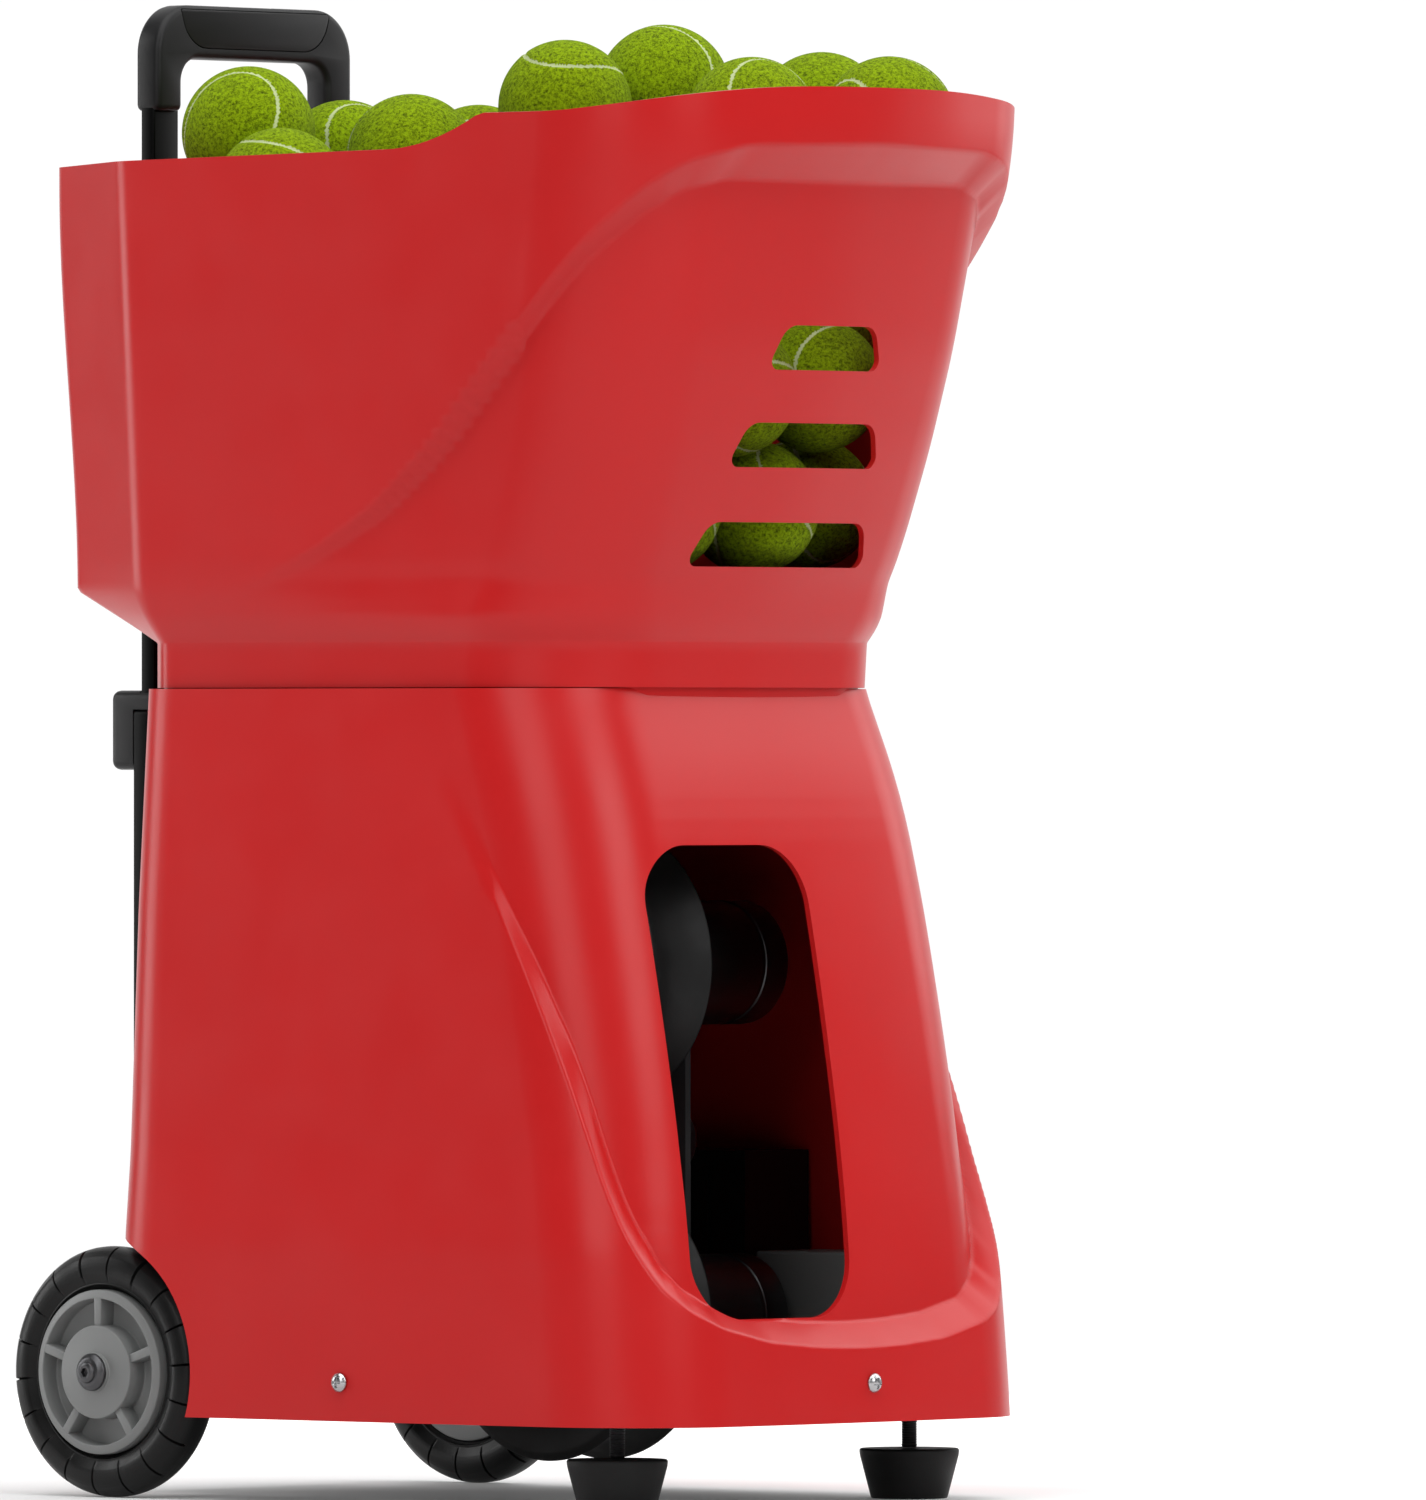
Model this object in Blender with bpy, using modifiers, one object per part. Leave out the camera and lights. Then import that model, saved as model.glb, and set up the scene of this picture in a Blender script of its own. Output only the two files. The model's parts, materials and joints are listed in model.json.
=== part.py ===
"""A tennis ball machine: a hopper over a casing with a two-wheel launching head inside.

The frame has +Z up, the ground at z = 0, the front (where the balls leave) towards -Y and the
width along X. Y distances are often given by ahead(d), the distance d in front of the rear axle.
"""

import math

import bmesh
import bpy
from mathutils import Matrix, Vector

OBJECT_NAME = "tennis_ball_machine"

# Driving dimensions, in metres.
AXLE_Y = 0.1636
AXLE_Z = 0.06275
GAP = 0.0004
WALL = 0.003

CASING_BOTTOM = 0.0417
CASING_TOP = 0.404
CASING_REAR = 0.008
HOPPER_BOTTOM = 0.4045
NECK_TOP = 0.427
VISOR_LOW = 0.6535
VISOR_HIGH = 0.6721
LAST_LEVEL = 0.640
RIM_SHAPE_Z = 0.680
FRONT_BULGE = 0.009

WHEEL_RADIUS = 0.06275
WHEEL_MID_X = 0.137
TYRE_WIDTH = 0.0245
HUB_OUTER_X = 0.154
HUB_RADIUS = 0.0412
AXLE_RADIUS = 0.005
ARCH_RADIUS = 0.069
WELL_INNER_X = 0.118

HEAD_X = -0.045
HEAD_AHEAD = 0.226
NIP_Z = 0.179
LAUNCH_WHEEL_RADIUS = 0.070
LAUNCH_WHEEL_WIDTH = 0.050
LAUNCH_WHEEL_LIFT = 0.0883
GROOVE_DEPTH = 0.008
MOTOR_RADIUS = 0.031
PLATE_X = -0.007
PLATE_THICKNESS = 0.004

DECK_Z = 0.396
DECK_THICKNESS = 0.004
FLOOR_Z = 0.432
FLOOR_THICKNESS = 0.003
DISC_RADIUS = 0.110
DISC_THICKNESS = 0.022
DISC_AHEAD = 0.128
POCKETS = 5
POCKET_RADIUS = 0.036
POCKET_CIRCLE = 0.068
DROP_AHEAD = 0.077
DROP_RADIUS = 0.037
TUBE_WALL = 0.0025

HANDLE_AHEAD = -0.037
ROD_X = 0.0635
ROD_SIZE = (0.019, 0.009)
OUTER_TUBE_SIZE = (0.025, 0.015)
BRACKET_BOTTOM = 0.3635
BRACKET_TOP = 0.4035
GRIP_BOTTOM = 0.695
GRIP_TOP = 0.749
GRIP_WIDTH = 0.147
GRIP_DEPTH = 0.016

FOOT_X = 0.111
FOOT_AHEAD = 0.310
FOOT_HEIGHT = 0.025

BASE_Z = 0.0440
BASE_THICKNESS = 0.004

COLOURS = {
    "red_plastic": ((0.50, 0.028, 0.026, 1.0), 0.42, 0.0),
    "black_plastic": ((0.012, 0.012, 0.013, 1.0), 0.45, 0.0),
    "rubber": ((0.010, 0.010, 0.010, 1.0), 0.75, 0.0),
    "hub_grey": ((0.17, 0.175, 0.172, 1.0), 0.50, 0.0),
    "bright_steel": ((0.62, 0.62, 0.63, 1.0), 0.25, 1.0),
    "motor_steel": ((0.10, 0.10, 0.11, 1.0), 0.40, 1.0),
    "aluminium": ((0.55, 0.56, 0.57, 1.0), 0.38, 1.0),
    "painted_frame": ((0.020, 0.020, 0.022, 1.0), 0.55, 0.3),
    "black_aluminium": ((0.022, 0.022, 0.023, 1.0), 0.40, 1.0),
}


# ---------------------------------------------------------------- scene helpers


def clear_scene():
    for obj in list(bpy.data.objects):
        bpy.data.objects.remove(obj, do_unlink=True)


def new_collection(name):
    collection = bpy.data.collections.new(name)
    bpy.context.scene.collection.children.link(collection)
    return collection


def make_material(name, colour, roughness, metallic):
    material = bpy.data.materials.new(name)
    material.use_nodes = True
    shader = material.node_tree.nodes["Principled BSDF"]
    shader.inputs["Base Color"].default_value = colour
    shader.inputs["Roughness"].default_value = roughness
    shader.inputs["Metallic"].default_value = metallic
    material.diffuse_color = colour
    return material


clear_scene()
PARTS = new_collection(OBJECT_NAME)
CUTTERS = new_collection("cutters")
MATERIALS = {name: make_material(name, *values) for name, values in COLOURS.items()}


def ahead(distance):
    """The Y of a point this far in front of the rear axle."""
    return AXLE_Y - distance


def move_to(obj, collection):
    for owner in list(obj.users_collection):
        owner.objects.unlink(obj)
    collection.objects.link(obj)


def hide_as_tool(obj):
    """Mark an object as a cutter or a joined piece, which isn't a part itself."""
    move_to(obj, CUTTERS)
    obj.hide_render = True
    obj.display_type = "WIRE"
    return obj


def finish_part(obj, name, material, parent=None):
    """Name a part, give it its material and hang it on its moving frame."""
    obj.name = name
    obj.data.name = name
    obj.data.materials.clear()
    obj.data.materials.append(MATERIALS[material])
    move_to(obj, PARTS)
    if parent is not None:
        obj.parent = parent
        obj.matrix_parent_inverse = Matrix.Translation(-Vector(parent["axis_point"]))
    return obj


def joint_frame(name, location, parent=None):
    """An empty on a joint's axis, which carries what moves with that joint."""
    empty = bpy.data.objects.new(name, None)
    empty["axis_point"] = location
    empty.location = location
    PARTS.objects.link(empty)
    if parent is not None:
        empty.parent = parent
        empty.matrix_parent_inverse = Matrix.Translation(-Vector(parent["axis_point"]))
    return empty


# ---------------------------------------------------------------- shape helpers


def active():
    return bpy.context.object


def box(size, centre, bevel=0.0):
    """A block of this size; its upright and level edges are rounded where bevel is given."""
    bpy.ops.mesh.primitive_cube_add(size=1, location=centre)
    obj = active()
    obj.scale = size
    bpy.ops.object.transform_apply(location=False, rotation=False, scale=True)
    if bevel:
        rounding = obj.modifiers.new("edges", "BEVEL")
        rounding.width = bevel
        rounding.segments = 2
    return obj


def cylinder(radius, depth, centre, axis="Z", sides=24, bevel=0.0):
    """A round bar along an axis."""
    turn = {"X": (0, math.pi / 2, 0), "Y": (math.pi / 2, 0, 0), "Z": (0, 0, 0)}[axis]
    bpy.ops.mesh.primitive_cylinder_add(
        vertices=sides, radius=radius, depth=depth, location=centre, rotation=turn)
    obj = active()
    if bevel:
        rounding = obj.modifiers.new("edges", "BEVEL")
        rounding.width = bevel
        rounding.segments = 2
        rounding.angle_limit = math.radians(50)
    shade(obj)
    return obj


def shade(obj):
    obj.data.shade_smooth()
    obj.data.set_sharp_from_angle(angle=math.radians(35))


def turned(profile, centre, axis="Z", sides=32):
    """A turned piece from an outline of (radius, height) points, open where it meets the axis."""
    area = sum(r1 * h2 - r2 * h1 for (r1, h1), (r2, h2) in zip(profile, profile[1:] + profile[:1]))
    ordered = profile if area < 0 else list(reversed(profile))
    mesh = bpy.data.meshes.new("profile")
    edges = [(i, i + 1) for i in range(len(ordered) - 1)]
    if min(radius for radius, _ in ordered) > 0.0:
        edges.append((len(ordered) - 1, 0))
    mesh.from_pydata([(radius, 0.0, height) for radius, height in ordered], edges, [])
    obj = bpy.data.objects.new("turned", mesh)
    bpy.context.scene.collection.objects.link(obj)
    screw = obj.modifiers.new("turn", "SCREW")
    screw.steps = sides
    screw.render_steps = sides
    screw.use_merge_vertices = True
    screw.merge_threshold = 0.00005
    obj.location = centre
    obj.rotation_euler = {"X": (0, math.pi / 2, 0), "-X": (0, -math.pi / 2, 0), "Z": (0, 0, 0)}[axis]
    return obj


def flat_plate(outline, thickness, holes=()):
    """A plate in the XY plane, centred on z = 0, from a closed outline and round holes (x, y, radius)."""
    curve = bpy.data.curves.new("outline", "CURVE")
    curve.dimensions = "2D"
    curve.fill_mode = "BOTH"
    curve.extrude = thickness / 2
    rings = [outline] + [circle_points(x, y, radius) for x, y, radius in holes]
    for ring in rings:
        spline = curve.splines.new("POLY")
        spline.points.add(len(ring) - 1)
        for point, (x, y) in zip(spline.points, ring):
            point.co = (x, y, 0.0, 1.0)
        spline.use_cyclic_u = True
    obj = bpy.data.objects.new("plate", curve)
    bpy.context.scene.collection.objects.link(obj)
    return as_mesh(obj)


def as_mesh(curve_object):
    """Turn a curve into a closed mesh, so that it can be cut and joined."""
    bpy.context.view_layer.update()
    evaluated = curve_object.evaluated_get(bpy.context.evaluated_depsgraph_get())
    mesh = bpy.data.meshes.new_from_object(evaluated)
    body = bmesh.new()
    body.from_mesh(mesh)
    bmesh.ops.remove_doubles(body, verts=body.verts, dist=0.00001)
    bmesh.ops.recalc_face_normals(body, faces=body.faces)
    body.to_mesh(mesh)
    body.free()
    obj = bpy.data.objects.new("solid", mesh)
    obj.matrix_world = curve_object.matrix_world.copy()
    bpy.context.scene.collection.objects.link(obj)
    bpy.data.objects.remove(curve_object, do_unlink=True)
    return obj


def circle_points(x, y, radius, count=24):
    angles = [2 * math.pi * i / count for i in range(count)]
    return [(x + radius * math.cos(a), y + radius * math.sin(a)) for a in angles]


def tube(points, radius, resolution=3):
    """A round bar along a smooth path."""
    curve = bpy.data.curves.new("path", "CURVE")
    curve.dimensions = "3D"
    curve.bevel_depth = radius
    curve.bevel_resolution = resolution
    curve.use_fill_caps = True
    curve.render_resolution_u = 0
    spline = curve.splines.new("POLY")
    spline.points.add(len(points) - 1)
    for target, point in zip(spline.points, points):
        target.co = (*point, 1.0)
    obj = bpy.data.objects.new("tube", curve)
    bpy.context.scene.collection.objects.link(obj)
    return as_mesh(obj)


def boolean(obj, tool, operation):
    change = obj.modifiers.new(operation.lower(), "BOOLEAN")
    change.operation = operation
    change.solver = "EXACT"
    change.object = hide_as_tool(tool)
    return obj


def cut(obj, *tools):
    for tool in tools:
        boolean(obj, tool, "DIFFERENCE")
    return obj


def join(obj, *tools):
    for tool in tools:
        boolean(obj, tool, "UNION")
    return obj


def rounded_rectangle(width, height, radius, steps=5):
    """Points of an upright rectangle with round corners, centred on the origin."""
    points = []
    for quarter in range(4):
        angle = quarter * math.pi / 2
        sign_x = 1 if quarter in (0, 3) else -1
        sign_y = 1 if quarter in (0, 1) else -1
        for step in range(steps + 1):
            a = angle + step / steps * math.pi / 2
            x = sign_x * (width / 2 - radius) + radius * math.cos(a)
            y = sign_y * (height / 2 - radius) + radius * math.sin(a)
            points.append((x, y))
    return points


# ---------------------------------------------------------------- lofted shells


def ease(value):
    value = min(max(value, 0.0), 1.0)
    return value * value * (3 - 2 * value)


def table(z, *rows):
    """Read a value from (height, value) rows, straight between them."""
    for (low, a), (high, b) in zip(rows, rows[1:]):
        if z <= high:
            return a + (b - a) * (z - low) / (high - low)
    return rows[-1][1]


def fillet(before, corner, after, reach, steps):
    """Points of the round that replaces a corner; reach is how far it goes along both edges."""
    corner = Vector(corner)
    back = (Vector(before) - corner).normalized()
    onward = (Vector(after) - corner).normalized()
    start = corner + back * reach
    end = corner + onward * reach
    weight = math.sin(back.angle(onward) / 2)
    points = []
    for step in range(steps + 1):
        t = step / steps
        share = (1 - t) ** 2, 2 * weight * t * (1 - t), t * t
        points.append((start * share[0] + corner * share[1] + end * share[2]) / sum(share))
    return points


def half_ring(corners, side_steps, front_steps):
    """The +X half of a level outline, from the rear centre to the front centre.

    Each corner is (x, distance ahead, reach, steps); the straights after the last but one and
    the last corner are divided, so that a relief can be pressed into them.
    """
    ends = [(0.0, corners[0][1])] + [c[:2] for c in corners] + [(0.0, corners[-1][1])]
    points = [Vector(ends[0])]
    for i, (x, y, reach, steps) in enumerate(corners):
        arc = fillet(ends[i], (x, y), ends[i + 2], reach, steps)
        if i == len(corners) - 1:
            points += divided(points[-1], arc[0], side_steps)
        points += arc
    points += divided(points[-1], Vector(ends[-1]), front_steps)
    points.append(Vector(ends[-1]))
    return points


def divided(start, end, steps):
    return [start.lerp(end, i / steps) for i in range(1, steps)]


def loft(rings, closed=False):
    """A skin through level rings, each a list of (x, y, z) with the same number of points."""
    count = len(rings[0])
    body = bmesh.new()
    rows = [[body.verts.new(point) for point in ring] for ring in rings]
    pairs = list(zip(rows, rows[1:])) + ([(rows[-1], rows[0])] if closed else [])
    for low, high in pairs:
        for i in range(count):
            j = (i + 1) % count
            body.faces.new((low[i], low[j], high[j], high[i]))
    mesh = bpy.data.meshes.new("loft")
    body.to_mesh(mesh)
    body.free()
    obj = bpy.data.objects.new("loft", mesh)
    bpy.context.scene.collection.objects.link(obj)
    return obj


def whole_ring(half, z_of):
    """Mirror a half outline and lift it; z_of gives each point's height from (x, distance ahead)."""
    right = [(p[0], ahead(p[1]), z_of(p[0], p[1])) for p in half]
    left = [(-x, y, z) for x, y, z in reversed(right[1:-1])]
    return list(reversed(right + left))


def thicken(obj, thickness):
    """Give a skin its wall, inwards from the outer surface."""
    solid = obj.modifiers.new("wall", "SOLIDIFY")
    solid.thickness = thickness
    solid.offset = -1.0
    solid.use_even_offset = True
    return obj


# ---------------------------------------------------------------- the two red casings


def front_bulge(x, y, width):
    """How far the bowed front stands forward of its corners, at a point of the outline."""
    return FRONT_BULGE * (1 - (x / width) ** 2) * ease((y - 0.2) / 0.1)


def casing_ring(z):
    """One level outline of the lower casing, with the scoop pressed into its front."""
    width = table(z, (0.04, 0.158), (0.13, 0.157), (0.173, 0.153), (0.296, 0.147), (0.41, 0.139))
    front = table(z, (0.042, 0.367), (0.09, 0.3635), (0.127, 0.360), (0.173, 0.3515), (0.23, 0.339),
                  (0.296, 0.3235), (0.35, 0.3085), (0.404, 0.288))
    half = half_ring([(width, CASING_REAR, 0.030, 3), (width, front, 0.062, 6)], 4, 3)
    depth = table(z, (0.04, 0.0), (0.077, 0.0), (0.093, 0.014), (0.12, 0.014), (0.30, 0.0), (0.41, 0.0))
    shaped = []
    for x, y in half:
        bulge = front_bulge(x, y, width)
        edge = table(z, (0.09, 0.325), (0.21, 0.325), (0.247, 0.297), (0.302, 0.256), (0.337, 0.224),
                     (0.41, 0.224))
        inside = ease((y - edge) / 0.012) if x > width - 0.062 else 1.0
        scoop = depth * inside * ease((y - 0.2) / 0.02)
        outward = Vector((max(x - width + 0.062, 0.0), max(y - front + 0.062, 0.0)))
        if outward.length > 0:
            outward.normalize()
        shaped.append((x - scoop * outward.x, y + bulge - scoop * outward.y))
    return whole_ring(shaped, lambda x, y: z)


def slot_cutter(width, height, radius, centre_x, centre_z):
    """A rounded upright slot that goes in from the front."""
    outline = rounded_rectangle(width, height, radius)
    tool = flat_plate(outline, 0.20)
    tool.rotation_euler = (math.pi / 2, 0, 0)
    tool.location = (centre_x, ahead(0.34), centre_z)
    return tool


def lower_casing():
    levels = (CASING_BOTTOM, 0.077, 0.093, 0.127, 0.173, 0.21, 0.247, 0.302, 0.35, CASING_TOP)
    shell = thicken(loft([casing_ring(z) for z in levels]), WALL)
    arches = [cylinder(ARCH_RADIUS, 0.060, (side * (WELL_INNER_X + 0.030), AXLE_Y, AXLE_Z), "X", 32)
              for side in (-1, 1)]
    slot = slot_cutter(0.115, 0.2331, 0.030, -0.0455, 0.21005)
    cut(shell, slot, *arches)
    return finish_part(shell, "lower_casing", "red_plastic")


def hopper_corners(z):
    """The +X corners of the hopper's level outline: neck below, wings and a rear channel above."""
    grown = ease((z - NECK_TOP) / 0.028)
    width = table(z, (0.40, 0.134), (0.427, 0.134), (0.44, 0.141), (0.455, 0.1455), (0.70, 0.161))
    front = table(z, (0.40, 0.2925), (0.43, 0.2945), (0.475, 0.3155), (0.524, 0.3315), (0.572, 0.344),
                  (0.648, 0.358), (0.672, 0.362), (0.70, 0.362))
    channel = 0.010 - 0.030 * grown
    rear = 0.010 - 0.055 * grown - 0.012 * ease((z - 0.455) / 0.2) * grown
    return width, [
        (0.082, channel, 0.0035, 1),
        (0.090 + 0.002 * grown, rear, 0.0035, 1),
        (0.118 + 0.002 * grown, rear, 0.010, 2),
        (width, 0.028 - 0.006 * grown, 0.012, 2),
        (width, front, 0.064, 6),
    ]


def rim_height(x, distance):
    """The top edge: high round the front, a step down at each side, then a slow fall to the rear."""
    rear_part = 0.6697 - 0.0147 * (0.2 - distance)
    front_part = 0.6865 + 0.0135 * (1 - abs(x / 0.161) ** 3) * ease((distance - 0.28) / 0.05)
    step = min(max((distance - 0.205) / 0.062, 0.0), 1.0) ** 2
    return rear_part + (front_part - rear_part) * step


def shaped_hopper(z):
    """The hopper's half outline at one height, with its bowed front and the visor near the top."""
    width, corners = hopper_corners(z)
    visor = table(z, (HOPPER_BOTTOM, 0.0), (VISOR_LOW, 0.0), (VISOR_HIGH, 0.0155), (GRIP_TOP, 0.0185))
    shaped = []
    for x, y in half_ring(corners, 4, 3):
        lift = visor * (1 - min(x / width, 1.0) ** 1.5) * ease((y - 0.22) / 0.05)
        shaped.append((x, y + front_bulge(x, y, width) + lift))
    return shaped


def hopper_ring(z):
    return whole_ring(shaped_hopper(z), lambda x, y: z)


def hopper_rim_ring(share):
    """An outline between the last level ring and the uneven top edge."""
    low = shaped_hopper(LAST_LEVEL)
    high = shaped_hopper(RIM_SHAPE_Z)
    points = []
    for (x, y), (x_low, y_low) in zip(high, low):
        z = LAST_LEVEL + (rim_height(x, y) - LAST_LEVEL) * share
        if y > 0.22:
            at = ease((z - VISOR_LOW) / (VISOR_HIGH - VISOR_LOW))
        else:
            at = min((z - LAST_LEVEL) / (RIM_SHAPE_Z - LAST_LEVEL), 1.0)
        points.append((x_low + (x - x_low) * at, y_low + (y - y_low) * at, z))
    right = [(x, ahead(y), z) for x, y, z in points]
    left = [(-x, y, z) for x, y, z in reversed(right[1:-1])]
    return list(reversed(right + left))


def hopper_bin():
    levels = (HOPPER_BOTTOM, NECK_TOP, 0.434, 0.442, 0.455, 0.488, 0.524, 0.560, 0.600, LAST_LEVEL)
    rings = [hopper_ring(z) for z in levels]
    rings += [hopper_rim_ring(share) for share in (0.28, 0.42, 0.56, 1.0)]
    shell = thicken(loft(rings), WALL)
    for z, width in ((0.475, 0.132), (0.524, 0.109), (0.572, 0.081)):
        cut(shell, vent_cutter(z, width))
    return finish_part(shell, "hopper_bin", "red_plastic")


def vent_cutter(z, width):
    """A vent with slanting ends, wider at its foot."""
    half, slant, rise = width / 2, 0.0055, 0.011
    corners = [(half, -rise), (half - 2 * slant, rise), (-half + 2 * slant, rise), (-half, -rise)]
    outline = []
    for i, corner in enumerate(corners):
        arc = fillet(corners[i - 1], corner, corners[(i + 1) % 4], 0.006, 3)
        outline += [(p.x, p.y) for p in arc]
    tool = flat_plate(outline, 0.12)
    tool.rotation_euler = (math.pi / 2, 0, 0)
    tool.location = (0.0, ahead(0.34), z)
    return tool


# ---------------------------------------------------------------- decks and plates


def inset_outline(width, rear, front, reach):
    """A level plate's outline inside the casing, without points amid its straight ends."""
    half = half_ring([(width, rear, 0.026, 4), (width, front, reach, 6)], 1, 1)
    right = [(x, ahead(y)) for x, y in half[1:-1]]
    return right + [(-x, y) for x, y in reversed(right)]


def base_plate():
    rods = [(side * FOOT_X, ahead(FOOT_AHEAD), 0.0044) for side in (-1, 1)]
    plate = flat_plate(inset_outline(0.1545, 0.0115, 0.360, 0.058), BASE_THICKNESS, rods)
    plate.location.z = BASE_Z + BASE_THICKNESS / 2
    arches = [box((0.060, 0.160, 0.02), (s * (WELL_INNER_X + 0.027), ahead(0.0710) + 0.080, BASE_Z))
              for s in (-1, 1)]
    wheel_window = box((0.094, 0.158, 0.02), (HEAD_X, ahead(0.2395), BASE_Z + 0.001))
    cut(plate, wheel_window, *arches)
    return finish_part(plate, "base_plate", "painted_frame")


def deck_plate():
    """The bridge across the casing's top, which carries the feeder and the launching head."""
    holes = [(0.0, ahead(DISC_AHEAD), 0.0058), (HEAD_X, ahead(HEAD_AHEAD), 0.0054),
             (HEAD_X, ahead(DROP_AHEAD), DROP_RADIUS + TUBE_WALL + GAP)]
    plate = flat_plate(inset_outline(0.1345, 0.0125, 0.2825, 0.058), DECK_THICKNESS, holes)
    plate.location.z = DECK_Z + DECK_THICKNESS / 2
    return finish_part(plate, "deck_plate", "painted_frame")


def feeder_floor():
    """The floor of the hopper, with the hole that a ball drops through."""
    holes = [(0.0, ahead(DISC_AHEAD), 0.0058), (HEAD_X, ahead(DROP_AHEAD), DROP_RADIUS)]
    plate = flat_plate(inset_outline(0.1300, 0.0145, 0.284, 0.056), FLOOR_THICKNESS, holes)
    plate.location.z = FLOOR_Z + FLOOR_THICKNESS / 2
    return finish_part(plate, "feeder_floor", "black_plastic")


# ---------------------------------------------------------------- ball feeder


def feeder(frame):
    """The turning disc that carries balls one by one to the drop hole."""
    centre = (0.0, ahead(DISC_AHEAD))
    pitch = 2 * math.pi / POCKETS
    start = math.atan2(ahead(DROP_AHEAD) - centre[1], HEAD_X - centre[0])
    pockets = [(centre[0] + POCKET_CIRCLE * math.cos(start + i * pitch),
                centre[1] + POCKET_CIRCLE * math.sin(start + i * pitch), POCKET_RADIUS)
               for i in range(POCKETS)]
    outline = circle_points(*centre, DISC_RADIUS, 64)
    disc = flat_plate(outline, DISC_THICKNESS, pockets + [(*centre, 0.0055)])
    bottom = FLOOR_Z + FLOOR_THICKNESS + 0.0015
    disc.location.z = bottom + DISC_THICKNESS / 2
    finish_part(disc, "feeder_disc", "black_plastic", frame)
    shaft_top = bottom + DISC_THICKNESS
    shaft = cylinder(0.005, shaft_top - 0.372, (*centre, (shaft_top + 0.372) / 2), "Z", 20)
    finish_part(shaft, "feeder_shaft", "bright_steel", frame)
    cap_profile = [(0.0, 0.020), (0.008, 0.018), (0.016, 0.011), (0.021, 0.0), (0.0, 0.0)]
    cap = turned(cap_profile, (*centre, shaft_top + GAP), "Z", 28)
    finish_part(cap, "feeder_cap", "black_plastic", frame)
    motor = turned([(0.0, -0.026), (0.0055, -0.026), (0.0055, 0.0), (0.0165, 0.0), (0.0165, -0.020),
                    (0.0155, -0.021), (0.0155, -0.058), (0.0130, -0.060), (0.0, -0.060)],
                   (*centre, DECK_Z - GAP), "Z", 24)
    finish_part(motor, "feeder_motor", "motor_steel")


def drop_tube():
    """The bent tube from the drop hole down to the mouth behind the launching wheels."""
    bend, low = 0.053, 0.186
    top = FLOOR_Z - GAP
    path = [(HEAD_X, ahead(DROP_AHEAD), top)]
    for step in range(9):
        a = step / 8 * math.pi / 2
        distance = DROP_AHEAD + bend * (1 - math.cos(a))
        path.append((HEAD_X, ahead(distance), low + bend * (1 - math.sin(a))))
    outer = tube(path, DROP_RADIUS + TUBE_WALL, 4)
    over = 0.004
    inner_path = [(HEAD_X, ahead(DROP_AHEAD), top + over)] + path[1:-1]
    inner_path.append((HEAD_X, path[-1][1] - over, low))
    cut(outer, tube(inner_path, DROP_RADIUS, 4))
    shade(outer)
    return finish_part(outer, "drop_tube", "black_plastic")


# ---------------------------------------------------------------- launching head


def head_point(x, forward, up):
    """A point given from the crossing of the head's turning and tilting axes."""
    return (x, ahead(HEAD_AHEAD + forward), NIP_Z + up)


def side_plate(outline, thickness, x, holes=()):
    """A plate that stands in the YZ plane; its outline is (forward, up) from the tilt axis."""
    plate = flat_plate([(-f, u) for f, u in outline], thickness, [(-f, u, r) for f, u, r in holes])
    plate.rotation_euler = (math.pi / 2, 0, math.pi / 2)
    plate.location = head_point(x, 0.0, 0.0)
    return plate


def yaw_head(frame):
    """What turns left and right: the turntable, the yoke that hangs from it and the tilt motor."""
    centre = (HEAD_X, ahead(HEAD_AHEAD))
    motor = cylinder(0.022, 0.024, (*centre, DECK_Z + DECK_THICKNESS + GAP + 0.012), "Z", 28, 0.0015)
    cut(motor, cylinder(0.0046, 0.03, (*centre, DECK_Z + DECK_THICKNESS), "Z", 20))
    finish_part(motor, "yaw_motor", "motor_steel")
    ring = turned([(0.052, 0.012), (0.052, 0.0), (0.0435, 0.0), (0.0435, 0.0035), (0.0400, 0.0035),
                   (0.0400, 0.012)], (*centre, DECK_Z - 0.012 - GAP), "Z", 36)
    finish_part(ring, "yaw_bearing", "bright_steel")
    table_profile = [(0.0, 0.0110), (0.0394, 0.0110), (0.0394, 0.0030), (0.0430, 0.0030),
                     (0.0430, -0.0010), (0.0, -0.0010)]
    turntable = turned(table_profile, (*centre, DECK_Z - 0.0125), "Z", 36)
    finish_part(turntable, "turntable", "aluminium", frame)
    shaft_low = DECK_Z - 0.0125 + 0.0110 + GAP
    shaft = cylinder(0.0040, 0.0135, (*centre, shaft_low + 0.00675), "Z", 20)
    finish_part(shaft, "yaw_shaft", "bright_steel", frame)

    column = [(-0.078, 0.197), (-0.078, 0.010), (-0.056, -0.021), (0.012, -0.021), (0.021, -0.012),
              (0.021, 0.012), (0.012, 0.021), (-0.055, 0.026), (-0.064, 0.045), (-0.064, 0.197)]
    yoke = side_plate(column, 0.004, -0.0020, [(0.0, 0.0, 0.0066)])
    top = box((0.0855, 0.122, 0.006), head_point(-0.04325, -0.017, 0.1945))
    join(yoke, top)
    finish_part(yoke, "yoke", "painted_frame", frame)
    tilt_motor = cylinder(0.0175, 0.026, head_point(0.0134, 0.0, 0.0), "X", 28, 0.0015)
    cut(tilt_motor, cylinder(0.0066, 0.016, head_point(0.0, 0.0, 0.0), "X", 20))
    finish_part(tilt_motor, "tilt_motor", "motor_steel", frame)


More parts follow.
